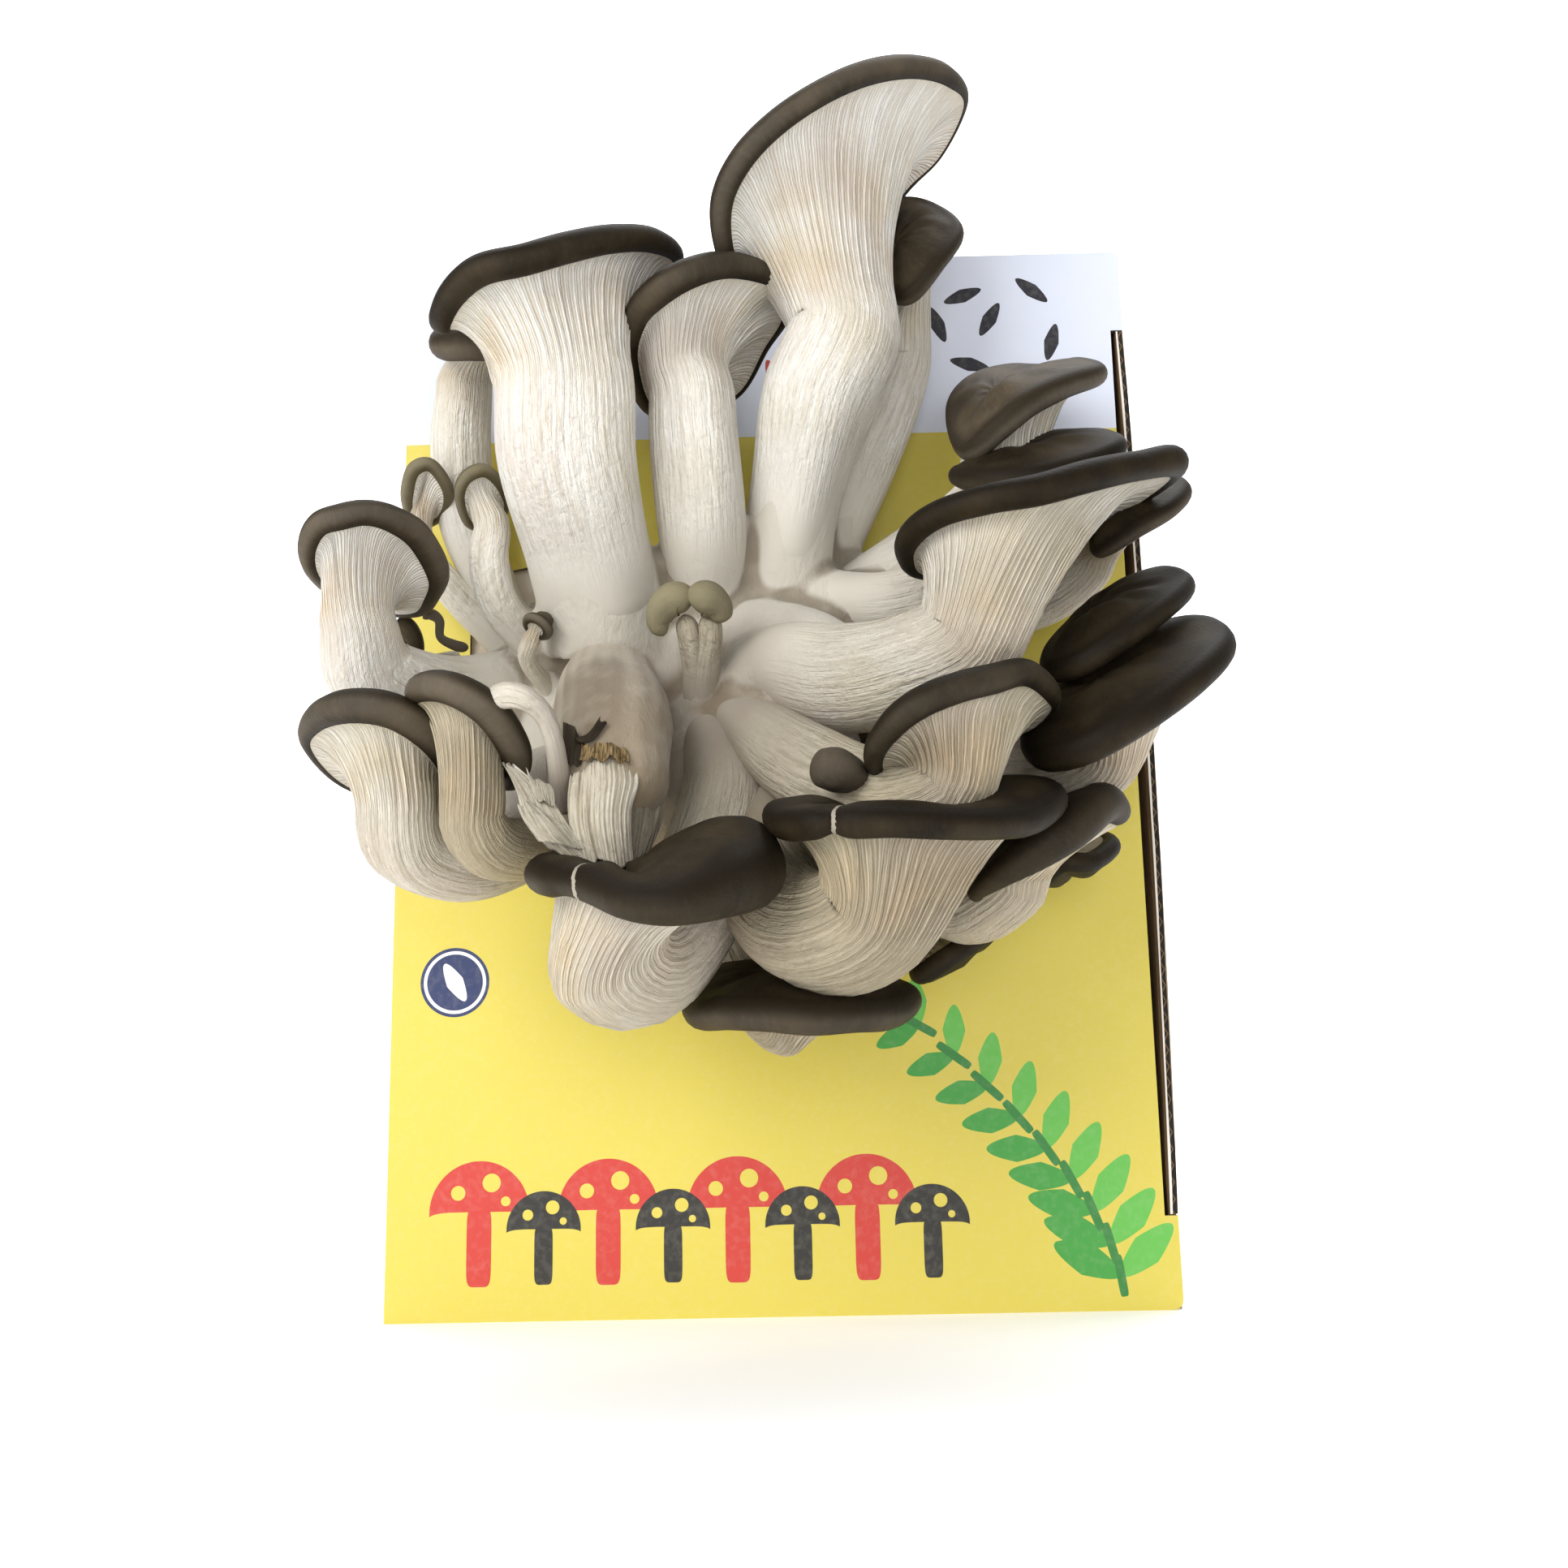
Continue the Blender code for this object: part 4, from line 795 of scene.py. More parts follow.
def flesh_material():
    """Fresh oyster mushroom flesh, grown: soft satin ivory that dulls to tan with age and with
    painted shade on pieces low in the cluster (one attribute for both), darkened by painted
    shade between the gills and in fine lines between them, warmer at the throat and greyed
    by painted shade towards the rim, with broken fibres along the stem and a cottony foot
    whose colour also paints shade on the stem's lower part."""
    made, tree, shader = start("oyster_flesh_fresh")
    if tree is None:
        return made
    along, blade, dull_and_shade, lines = (add(tree, "Attribute", out="Fac", attribute_name=label)
                                 for label in ("along", "blade", "dull_and_shade", "lines"))
    fibre = add(tree, "Attribute", out="Vector", attribute_name="fibre")
    spot = add(tree, "TexCoord", out="Object")
    # The real fibres are too fine to show, so they are drawn coarser, in mm: streaks 1.1
    # by 11, scratches 0.4 by 8, and crinkles 1.8 across
    noises = []
    for scale, stretch, detail in ((0.9, 0.10, 5.0), (2.4, 0.05, 3.0), (0.55, 1.0, 4.0)):
        way = add(tree, "Mapping", {"Vector": fibre, "Scale": (1.0, 1.0, stretch)})
        noises.append(add(tree, "TexNoise", {
            "Vector": way, "Scale": scale, "Detail": detail, "Roughness": 0.6,
            "Distortion": 0.5 * stretch}, out="Fac"))
    broad, thin, crinkle = noises
    # Clouds 14 mm across
    cloud = add(tree, "TexNoise", {"Vector": spot, "Scale": 70.0, "Detail": 3.0}, out="Fac")
    on_gills = add(tree, "MapRange", (along, 0.7, 1.25), interpolation_type="SMOOTHSTEP")
    on_stem = add(tree, "MapRange", (along, 0.2, 0.6), interpolation_type="SMOOTHSTEP")
    # Blades: pale crests over valleys darkened by painted shade, then fine lines of painted shade
    # between them
    valley_shade_colour = painted(tree, "#C9B899", (dull_and_shade, "#74674E"))
    valley_shade = add(tree, "Math", (
        add(tree, "MapRange", (blade, 0.6, 0.0)),
        add(tree, "MapRange", (on_gills, 0.0, 1.0, 0.15, 0.55))), operation="MULTIPLY")
    colour = painted(tree, "#FFFDF8", (dull_and_shade, "#CDC1A7"), (valley_shade, valley_shade_colour))
    x, y, _ = add(tree, "SeparateXYZ", (fibre,), out=ALL)
    # As many fine lines as the lines attribute says, which wander over 6 mm
    wander = add(tree, "TexNoise", {"Vector": spot, "Scale": 160.0, "Detail": 2.0}, out="Fac")
    turns = add(tree, "Math", (y, x), operation="ARCTAN2")
    turns = add(tree, "Math", (turns, lines), operation="MULTIPLY")
    wave = add(tree, "Math", (wander, 7.0, turns), operation="MULTIPLY_ADD")
    wave = add(tree, "Math", (wave,), operation="SINE")
    fine = add(tree, "Math", (add(tree, "MapRange", (wave, -0.2, 1.0)), on_gills),
               operation="MULTIPLY")
    # Share of painted shade in the fine lines
    fine_line_shade = add(tree, "Math", (fine, 0.22), operation="MULTIPLY")
    # Warm stain where the gills run into the stem. Nearer the rim the gills are greyed by painted
    # shade under the rolled edge, laid on below.
    stain = add(tree, "Math", (
        add(tree, "MapRange", (along, 0.75, 1.2), interpolation_type="SMOOTHSTEP"),
        add(tree, "MapRange", (along, 1.9, 1.3), interpolation_type="SMOOTHSTEP")),
        operation="MULTIPLY")
    stain = add(tree, "Math", (stain, add(tree, "MapRange", (cloud, 0.4, 0.68, 0.05, 0.55))),
                operation="MULTIPLY")
    # Darker streaks along the fibres, and dingy patches
    streak = add(tree, "Math", (add(tree, "MapRange", (broad, 0.46, 0.66, 0.0, 0.5)), on_stem),
                 operation="MULTIPLY")
    streak = add(tree, "Math", (streak, add(tree, "MapRange", (on_gills, 0.0, 1.0, 1.0, 0.3))),
                 operation="MULTIPLY")
    scratch = add(tree, "Math", (add(tree, "MapRange", (thin, 0.55, 0.7, 0.0, 0.35)), on_stem),
                  operation="MULTIPLY")
    # Yellower and redder patches 26 mm across, and the cottony foot of the stem, whose colour
    # also lays painted shade on the stem's lower part near the foot
    hue = add(tree, "TexNoise", {"Vector": spot, "Scale": 38.0, "Detail": 1.0}, out="Fac")
    cotton_and_shade = add(tree, "MapRange", (along, 0.75, 0.1), interpolation_type="SMOOTHSTEP")
    colour = painted(
        tree, colour, (fine_line_shade, valley_shade_colour), (stain, "#DBBE90"),
        # Painted shade that greys the gills under the rolled edge
        (add(tree, "MapRange", (along, 1.7, 2.0, 0.0, 0.3)),
         painted(tree, "#CFC9BD", (dull_and_shade, "#978F7D"))),
        (streak, painted(tree, "#D2C4AA", (dull_and_shade, "#83765B"))),
        (scratch, painted(tree, "#C0B196", (dull_and_shade, "#766A50"))),
        (add(tree, "MapRange", (crinkle, 0.5, 0.8, 0.0, 0.25)),
         painted(tree, "#D6CCB8", (dull_and_shade, "#8D8268"))),
        (add(tree, "MapRange", (hue, 0.5, 0.68, 0.0, 0.22)), "#C9B98A"),
        (add(tree, "MapRange", (hue, 0.48, 0.32, 0.0, 0.22)), "#B59A86"),
        # Still greyer for the dullest pieces: age, and painted shade on pieces deep in the
        # cluster
        (add(tree, "MapRange", (dull_and_shade, 1.0, 2.0, 0.0, 1.0)), "#7F776A"),
        (cotton_and_shade, foot_colour(tree, spot)))
    height = add(tree, "Math", (broad, 1.6, crinkle), operation="MULTIPLY_ADD")
    height = add(tree, "Math", (thin, 0.6, height), operation="MULTIPLY_ADD")
    rough = add(tree, "Math", (on_stem, add(tree, "MapRange", (on_gills, 0.0, 1.0, 1.0, 0.35))),
                operation="MULTIPLY")
    height = add(tree, "Math", (height, rough), operation="MULTIPLY")
    height = add(tree, "Math", (fine, -0.35, height), operation="MULTIPLY_ADD")
    bumps = add(tree, "Bump", {"Height": height, "Strength": 0.9, "Distance": 0.001})
    wire(tree, shader, {"Base Color": colour, "Roughness": 0.6, "Specular IOR Level": 0.35,
                        "Subsurface Weight": 0.10, "Subsurface Radius": (1.0, 0.7, 0.45),
                        "Subsurface Scale": 0.0015, "Normal": bumps})
    return made


def skin_material():
    """Oyster cap skin, grown: a satin grey-brown, nearly black on some caps and taupe on
    others (the pale attribute, partly their own tone and partly painted light on caps that
    face the light), clouded, with a painted highlight along the middle of the rolled edge,
    painted shade past it, and the darkest painted shade in a thin line where the edge turns
    under to the gills, with a few pale tears."""
    made, tree, shader = start("oyster_cap_satin")
    if tree is None:
        return made
    along, pale = (add(tree, "Attribute", out="Fac", attribute_name=label)
                   for label in ("along", "pale"))
    fibre = add(tree, "Attribute", out="Vector", attribute_name="fibre")
    spot = add(tree, "TexCoord", out="Object")
    # Fibrils 0.5 mm wide and 3.3 long, clouds 12 mm across, and a satin grain of 0.6 mm,
    # coarser than the real one so that it shows
    long_way = add(tree, "Mapping", {"Vector": fibre, "Scale": (1.0, 1.0, 0.15)})
    fibrils = add(tree, "TexNoise", {"Vector": long_way, "Scale": 2.0, "Detail": 4.0,
                                     "Roughness": 0.65}, out="Fac")
    cloud = add(tree, "TexNoise", {"Vector": spot, "Scale": 85.0, "Detail": 3.0}, out="Fac")
    grain = add(tree, "TexNoise", {"Vector": spot, "Scale": 1700.0, "Detail": 3.0}, out="Fac")
    young = add(tree, "MapRange", (pale, 1.0, 2.0))
    # pale lightens the skin: partly each cap's own tone, partly painted light on caps that face
    # the light
    dark = painted(tree, "#19130A", (pale, "#30281C"), (young, "#544B36"))
    light = painted(tree, "#2F2617", (pale, "#554A39"), (young, "#7F7659"))
    # Painted highlight along the middle of the rolled edge, and painted shade on the band past
    # it, as on a lit rolled tube
    highlight_and_shade_bands = [add(tree, "Math", [add(tree, "MapRange", (along, *step_ends),
                                    interpolation_type="SMOOTHSTEP")
                                for step_ends in ends], operation="MULTIPLY")
             for ends in (((2.12, 2.4), (2.75, 2.5)), ((2.5, 2.75), (3.15, 2.9)))]
    middle = add(tree, "Math", (highlight_and_shade_bands[0], add(tree, "MapRange", (pale, 0.1, 1.0, 0.0, 0.36))),
                 operation="MULTIPLY")
    colour = painted(
        tree, dark, (add(tree, "MapRange", (cloud, 0.34, 0.68)), light),
        (add(tree, "MapRange", (fibrils, 0.5, 0.8, 0.0, 0.22)),
         painted(tree, "#3D342A", (pale, "#797060"))),
        (middle, painted(tree, "#80776A", (young, "#A59D80"))), (highlight_and_shade_bands[1], dark),
        # Painted shade in a thin line where the rolled edge turns under to the gills
        (add(tree, "MapRange", (along, 2.25, 2.0, 0.0, 0.85)),
         painted(tree, "#17130D", (young, "#5E563F"))))
    # Tears: where balls round these points cut the skin, it shows a pale line
    worn = add(tree, "Math", (grain, TEAR_WOBBLE), operation="MULTIPLY")
    across, _, _ = add(tree, "SeparateXYZ", (spot,), out=ALL)
    for centre, radius in TEARS:
        away = add(tree, "VectorMath", (spot, tuple(place(centre) * MM)), out="Value",
                   operation="DISTANCE")
        away = add(tree, "Math", (away, worn), operation="ADD")
        torn = add(tree, "Math", (away, radius * MM, TEAR_HALF), operation="COMPARE")
        at_left = add(tree, "Math", (across, (centre[0] - 0.55 * radius) * MM),
                      operation="LESS_THAN")
        torn = add(tree, "Math", (torn, at_left), operation="MULTIPLY")
        colour = painted(tree, colour, (torn, "#A59D8E"))
    height = add(tree, "Math", (fibrils, 0.4, grain), operation="MULTIPLY_ADD")
    bumps = add(tree, "Bump", {"Height": height, "Strength": 0.3, "Distance": 0.0003})
    wire(tree, shader, {"Base Color": colour, "Roughness": 0.58, "Specular IOR Level": 0.12,
                        "Normal": bumps})
    return made


def withered_material():
    """Dried oyster gills, withered: brittle yellow-brown, darker along their fibres."""
    made, tree, shader = start("oyster_gill_withered")
    if tree is None:
        return made
    fibre = add(tree, "Attribute", out="Vector", attribute_name="fibre")
    # Dried fibres about 0.5 mm wide and 6 long
    long_way = add(tree, "Mapping", {"Vector": fibre, "Scale": (1.6, 1.0, 0.12)})
    streak = add(tree, "TexNoise", {"Vector": long_way, "Scale": 1.4, "Detail": 4.0}, out="Fac")
    colour = painted(tree, "#4A3A22", (add(tree, "MapRange", (streak, 0.35, 0.65)), "#9A8052"))
    bumps = add(tree, "Bump", {"Height": streak, "Strength": 0.6, "Distance": 0.0006})
    wire(tree, shader, {"Base Color": colour, "Roughness": 0.7, "Normal": bumps})
    return made


def cotton_material():
    """Oyster mycelium at the cluster's foot, grown: matt white cotton with soft clouds and
    fine fuzz, turned grey-brown by painted shade low down and in its creases (the crease
    attribute)."""
    made, tree, shader = start("oyster_mycelium_cotton")
    if tree is None:
        return made
    spot = add(tree, "TexCoord", out="Object")
    crease, dull_and_shade = (add(tree, "Attribute", out="Fac", attribute_name=label)
                    for label in ("crease", "dull_and_shade"))
    # Fuzz 1.1 mm wide and 3.7 tall, since real threads are too fine to show, under soft
    # clouds 7 mm across
    upright = add(tree, "Mapping", {"Vector": spot, "Scale": (1.0, 1.0, 0.3)})
    fuzz = add(tree, "TexNoise", {"Vector": upright, "Scale": 900.0, "Detail": 4.0,
                                  "Roughness": 0.7}, out="Fac")
    soft = add(tree, "TexNoise", {"Vector": spot, "Scale": 140.0, "Detail": 3.0}, out="Fac")
    # Painted shade in the creases, where the crease attribute says the surface is hollow
    crease_shade = add(tree, "MapRange", (crease, 0.02, 0.3, 0.0, 0.75),
               interpolation_type="SMOOTHSTEP")
    colour = painted(
        tree, foot_colour(tree, spot),
        (add(tree, "Math", (dull_and_shade, 0.45), operation="MULTIPLY"), "#A58F69"),
        (crease_shade, "#6E5F49"), (add(tree, "MapRange", (soft, 0.5, 0.75, 0.0, 0.3)), "#CBC3B3"))
    height = add(tree, "Math", (soft, 2.0, fuzz), operation="MULTIPLY_ADD")
    bumps = add(tree, "Bump", {"Height": height, "Strength": 0.5, "Distance": 0.0007})
    wire(tree, shader, {"Base Color": colour, "Roughness": 0.9, "Specular IOR Level": 0.2,
                        "Sheen Weight": 0.15, "Sheen Roughness": 0.6, "Normal": bumps})
    return made


def board_material():
    """Brown corrugated board, pressed kraft paper: matt, with short fibres, and its white
    liner and zigzag flute where the edge that faces the front is cut."""
    made, tree, shader = start("kraft_board")
    if tree is None:
        return made
    spot = add(tree, "TexCoord", out="Object")
    x, y, z = add(tree, "SeparateXYZ", (spot,), out=ALL)
    # The side bows out by s (1 - s) of this many mm, where s runs from its foot to its top
    share = add(tree, "MapRange", (z, BOW_ENDS[0] * MM, BOW_ENDS[1] * MM))
    rest = add(tree, "Math", (1.0, share), operation="SUBTRACT")
    bow = add(tree, "Math", (share, rest), operation="MULTIPLY")
    side = add(tree, "Math", (bow, -4 * SIDE_BOW * MM, x), operation="MULTIPLY_ADD")
    # Paper fibres 0.7 mm wide and 2.9 tall, coarser than real ones so that they show,
    # under clouds 25 mm across
    long_way = add(tree, "Mapping", {"Vector": spot, "Scale": (1.0, 1.0, 0.25)})
    fibres = add(tree, "TexNoise", {"Vector": long_way, "Scale": 1400.0, "Detail": 4.0},
                 out="Fac")
    cloud = add(tree, "TexNoise", {"Vector": spot, "Scale": 40.0, "Detail": 2.0}, out="Fac")
    # The cut edge: across it come the liner, the flute's zigzag, one wave for each 3.4 mm
    # as in the real board, and the outer paper
    wave = add(tree, "Math", (z, FLUTE_PITCH / 2 * MM), operation="PINGPONG")
    across = add(tree, "Math", (wave, -1.5 * BOARD / FLUTE_PITCH * 0.75, side),
                 operation="MULTIPLY_ADD")
    line = add(tree, "Math", (across, (BOX_SIDE - 0.9 * BOARD) * MM, FLUTE_HALF * MM),
               operation="COMPARE")
    wobble = add(tree, "Math", (cloud, 0.6 * MM, side), operation="MULTIPLY_ADD")
    papers = [(add(tree, "Math", (wobble, place_at * MM), operation=way), paper)
              for way, place_at, paper in (
                  ("LESS_THAN", BOX_SIDE - 0.55 * BOARD, "#E9E4DA"),
                  ("GREATER_THAN", BOX_SIDE + 0.12, "#A79980"))]
    # The dark ground between the papers is painted shade in the flute's hollows
    edge = painted(tree, "#1B130B", (line, "#6A5238"), *papers)
    front = add(tree, "Math", (y, (LID_FACE + 0.05) * MM), operation="LESS_THAN")
    shade = add(tree, "MapRange", (cloud, 0.3, 0.8, 0.0, 0.3))
    colour = painted(tree, "#8A6B48", (fibres, "#B0906A"), (shade, "#7C5F40"), (front, edge))
    bumps = add(tree, "Bump", {"Height": fibres, "Strength": 0.2, "Distance": 0.0002})
    wire(tree, shader, {"Base Color": colour, "Roughness": 0.85, "Normal": bumps})
    return made


def print_shapes():
    """The lid's plain printed shapes in mm, painted in order: rows of toadstools, a leafy
    sprig, a round badge and a few leaves on the pale band. Each is (x, z, half width, half
    height, turn in degrees, powers, ink, copies), where copies is None or the first one's
    place, the step between them and their count."""
    shapes = []
    for first, size, ink in ((-63.0, 1.0, "#C8392F"), (-49.5, 0.74, "#26231F")):
        copies = (first, 27.0, 4)
        for x, z, wide, high, powers, colour in (
                (0, 22, 10.5, 10.5, ROUND, ink), (0, 15.5, 11.5, 6.6, BLOCKY, YELLOW),
                (0, 15, 2.6, 8, BLOCKY, ink), (-4.5, 26, 1.5, 1.5, ROUND, YELLOW),
                (2.5, 28, 1.9, 1.9, ROUND, YELLOW), (5.5, 24.2, 1.0, 1.0, ROUND, YELLOW)):
            shapes.append((first + x * size, 8 + (z - 8) * size, wide * size, high * size,
                           0, powers, colour, copies))
    for i in range(9):
        share = i / 8
        x, z, turn = 70 - 40 * share ** 1.5, 7 + 52 * share, 8 + 52 * share
        for side, ink in ((-1, "#3F9A3C"), (1, "#64B94B")):
            lean = math.radians(turn - 56 * side)
            reach = 7.5 - 2.5 * share
            shapes.append((x - reach * math.sin(lean), z + reach * math.cos(lean),
                           3.3 - share, reach, math.degrees(lean), LEAF, ink, None))
        shapes.append((x, z, 0.9, 4.2, turn, BLOCKY, "#2F7F35", None))
    for wide, high, powers, ink in (
            (7.4, 7.4, ROUND, "#22305E"), (6.7, 6.7, ROUND, "#F2F1EC"),
            (6.0, 6.0, ROUND, "#22305E"), (1.9, 4.6, LEAF, "#F2F1EC")):
        shapes.append((-69, 70, wide, high, 30, powers, ink, None))
    for ink, places in (
            ("#23212A", ((46, 226, -70), (52, 220, -30), (40, 219, 20), (62, 227, 50),
                         (66, 214, -15), (47, 209, 75))),
            ("#B3362C", ((2, 207, 20), (-72, 203, -40)))):
        for x, z, turn in places:
            shapes.append((x, z, 1.7, 4.6, turn, LEAF, ink, None))
    return shapes


def print_material():
    """Coated board, printed: satin yellow under a pale lavender band, with plain shapes
    |x / a| ^ p + |z / b| ^ q < 1 painted over them in flat inks."""
    made, tree, shader = start("coated_board_print")
    if tree is None:
        return made
    spot = add(tree, "TexCoord", out="Object")
    x_at, y_at, z_at = add(tree, "SeparateXYZ", (spot,), out=ALL)
    band = add(tree, "Math", (z_at, BAND_LOW * MM), operation="GREATER_THAN")
    colour = painted(tree, YELLOW, (band, "#DDE2F0"))
    for x, z, wide, high, turn, powers, ink, copies in print_shapes():
        at = spot
        if copies:
            first, step_wide, count = copies
            wrapped = add(tree, "Math", (x_at, (first + step_wide / 2) * MM,
                                         (first - step_wide / 2) * MM), operation="WRAP")
            at = add(tree, "CombineXYZ", (wrapped, y_at, z_at))
        local = add(tree, "Mapping", {
            "Vector": at, "Location": (x * MM, LID_FACE * MM, z * MM),
            "Rotation": (0.0, -math.radians(turn), 0.0),
            "Scale": (wide * MM, 1.0, high * MM)}, vector_type="TEXTURE")
        size = add(tree, "VectorMath", (local,), operation="ABSOLUTE")
        wide_share, _, high_share = add(tree, "SeparateXYZ", (size,), out=ALL)
        terms = [add(tree, "Math", (share, power), operation="POWER")
                 for share, power in zip((wide_share, high_share), powers)]
        total = add(tree, "Math", terms, operation="ADD")
        inside = add(tree, "Math", (total, 1.0), operation="LESS_THAN")
        if copies:
            in_row = add(tree, "Math", (x_at, (first + step_wide * (count - 1) / 2) * MM,
                                        step_wide * count / 2 * MM), operation="COMPARE")
            inside = add(tree, "Math", (inside, in_row), operation="MULTIPLY")
        colour = painted(tree, colour, (inside, ink))
    # Worn specks 1.4 mm across, then the lid's cut rim, which shows brown paper
    grain = add(tree, "TexNoise", {"Vector": spot, "Scale": 700.0, "Detail": 3.0}, out="Fac")
    rim = add(tree, "Math", (y_at, (LID_FACE + 0.1) * MM), operation="GREATER_THAN")
    specks = add(tree, "MapRange", (grain, 0.45, 0.8, 0.0, 0.06))
    colour = painted(tree, colour, (specks, "#F3EFD8"), (rim, "#54452F"))
    bumps = add(tree, "Bump", {"Height": grain, "Strength": 0.08, "Distance": 0.0002})
    wire(tree, shader, {"Base Color": colour, "Roughness": 0.5, "Normal": bumps})
    return made


def medium_material():
    """Growing medium in its clear film bag: pale crumbs behind a satin film."""
    made, tree, shader = start("film_bagged_medium")
    if tree is None:
        return made
    spot = add(tree, "TexCoord", out="Object")
    # Crumbs of 3.8 mm, in patches 22 mm across
    crumbs = add(tree, "TexVoronoi", {"Vector": spot, "Scale": 260.0}, out="Distance")
    cloud = add(tree, "TexNoise", {"Vector": spot, "Scale": 45.0, "Detail": 4.0}, out="Fac")
    bumps = add(tree, "Bump", {"Height": crumbs, "Strength": 0.4, "Distance": 0.001})
    wire(tree, shader, {"Base Color": painted(tree, "#B89C78", (cloud, "#EFEAE0")),
                        "Roughness": 0.35, "Coat Weight": 0.5, "Coat Roughness": 0.2,
                        "Normal": bumps})
    return made


# ---------------------------------------------------------------- settings

class StageSettings(bpy.types.PropertyGroup):
    """Camera, floor and lights."""
    lens: bpy.props.FloatProperty(name="Lens", description="Focal length", default=37.27,
                                  unit="CAMERA")
    eye: bpy.props.FloatVectorProperty(name="Eye", description="The camera's place",
                                       default=(0.0067, -0.4095, 0.045), unit="LENGTH")
    turn: bpy.props.FloatVectorProperty(
        name="Turn", description="Camera pitch, yaw and roll", unit="ROTATION",
        default=(math.radians(10.83), math.radians(0.70), math.radians(-1.13)))
    floor: bpy.props.FloatVectorProperty(name="Floor", description="Floor colour",
                                         subtype="COLOR", size=4,
                                         default=linear("#F8F8F8"))
    # The floor's glow is painted light: the floor gives off light of its own, though it is no
    # lamp, which keeps it white and lights the cluster from below as bounce light would
    glow: bpy.props.FloatProperty(name="Glow", description="Light the floor gives off, as a "
                                  "lit table does", default=0.35)


class MushroomSettings(bpy.types.PropertyGroup):
    """Sizes of the mushrooms' details."""
    gill_depth: bpy.props.FloatProperty(
        name="Gill depth", description="How far the gill blades stand out",
        default=0.75 * MM, unit="LENGTH")


# ---------------------------------------------------------------- operators

class GROWKIT_OT_stage(bpy.types.Operator):
    """Camera, floor with its backdrop sweep, and soft lights"""
    bl_idname = "growkit.stage"
    bl_label = "Stage"

    def execute(self, context):
        settings = context.scene.growkit_stage
        scene = context.scene
        scene.view_settings.view_transform = "Standard"
        data = bpy.data.cameras.new("camera")
        data.lens, data.sensor_width, data.clip_start = settings.lens, 36.0, 0.01
        camera = bpy.data.objects.new("camera", data)
        scene.collection.objects.link(camera)
        pitch, yaw, roll = settings.turn
        turn = Matrix.Rotation(yaw, 4, "Z") @ Matrix.Rotation(math.pi / 2 + pitch, 4, "X") \
            @ Matrix.Rotation(roll, 4, "Z")
        camera.matrix_world = Matrix.Translation(settings.eye) @ turn
        scene.camera = camera
        self.backdrop(settings)
        self.lights(scene)
        return {"FINISHED"}

    def backdrop(self, settings):
        """A floor that turns up into a wall on a quarter circle behind the object."""
        turn, radius = np.linspace(0.0, math.pi / 2, 24), 0.8
        y = np.concatenate([[-2.5], 1.2 + radius * np.sin(turn), [2.0]])
        z = np.concatenate([[0.0], radius - radius * np.cos(turn), [3.5]])
        x = np.linspace(-3.0, 3.0, 2)
        points = np.stack([np.repeat(x, len(y)), np.tile(y, 2), np.tile(z, 2)], axis=1)
        i = np.arange(len(y) - 1)
        faces = np.stack([i, i + len(y), i + len(y) + 1, i + 1], axis=1)
        mesh = bpy.data.meshes.new("floor")
        mesh.from_pydata(points.tolist(), [], faces.tolist())
        mesh.shade_smooth()
        made, tree, shader = start("pale_floor")
        # The floor glows with its own painted light
        wire(tree, shader, {"Base Color": tuple(settings.floor), "Roughness": 0.8,
                            "Emission Color": tuple(settings.floor),
                            "Emission Strength": settings.glow})
        mesh.materials.append(made)
        link("floor", mesh)

    def lights(self, scene):
        """A pale world and four soft area lights: a large one at the upper left, a weaker
        one low in front, a faint one above, and one that lights the backdrop."""
        world = bpy.data.worlds.new("studio")
        scene.world = world
        world.use_nodes = True
        sky = world.node_tree.nodes["Background"]
        sky.inputs["Color"].default_value = linear("#F2F4F8")
        sky.inputs["Strength"].default_value = 0.3
        for name, spot, target, size, power in (
                ("key", (-0.75, -1.15, 0.62), (0.0, -0.08, 0.14), 0.9, 15.0),
                ("fill", (0.35, -1.4, 0.02), (0.0, -0.08, 0.08), 1.0, 8.0),
                ("rim", (0.1, 0.3, 0.9), (0.0, -0.06, 0.15), 0.6, 1.0),
                ("sweep", (0.0, 0.5, 1.7), (0.0, 1.9, 0.7), 1.6, 60.0)):
            data = bpy.data.lights.new(name, "AREA")
            data.shape, data.size, data.energy = "SQUARE", size, power
            lamp = bpy.data.objects.new(name, data)
            scene.collection.objects.link(lamp)
            start_at, end_at = np.array(spot), np.array(target)
            aim = unit(start_at - end_at)
            side = unit(np.cross((0.0, 0.0, 1.0), aim))
            up = np.cross(aim, side)
            lamp.matrix_world = Matrix([[side[i], up[i], aim[i], spot[i]] for i in range(3)]
                                       + [[0, 0, 0, 1]])


class GROWKIT_OT_box(bpy.types.Operator):
    """Finishes the box's lid, tray and the block of medium, which stay CAD nodes"""
    bl_idname = "growkit.box"
    bl_label = "Box"

    def execute(self, context):
        for name, made in (("box_lid", print_material()), ("box_tray", board_material()),
                           ("substrate_block", medium_material())):
            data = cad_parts[name].data
            data.materials.clear()
            data.materials.append(made)
        return {"FINISHED"}


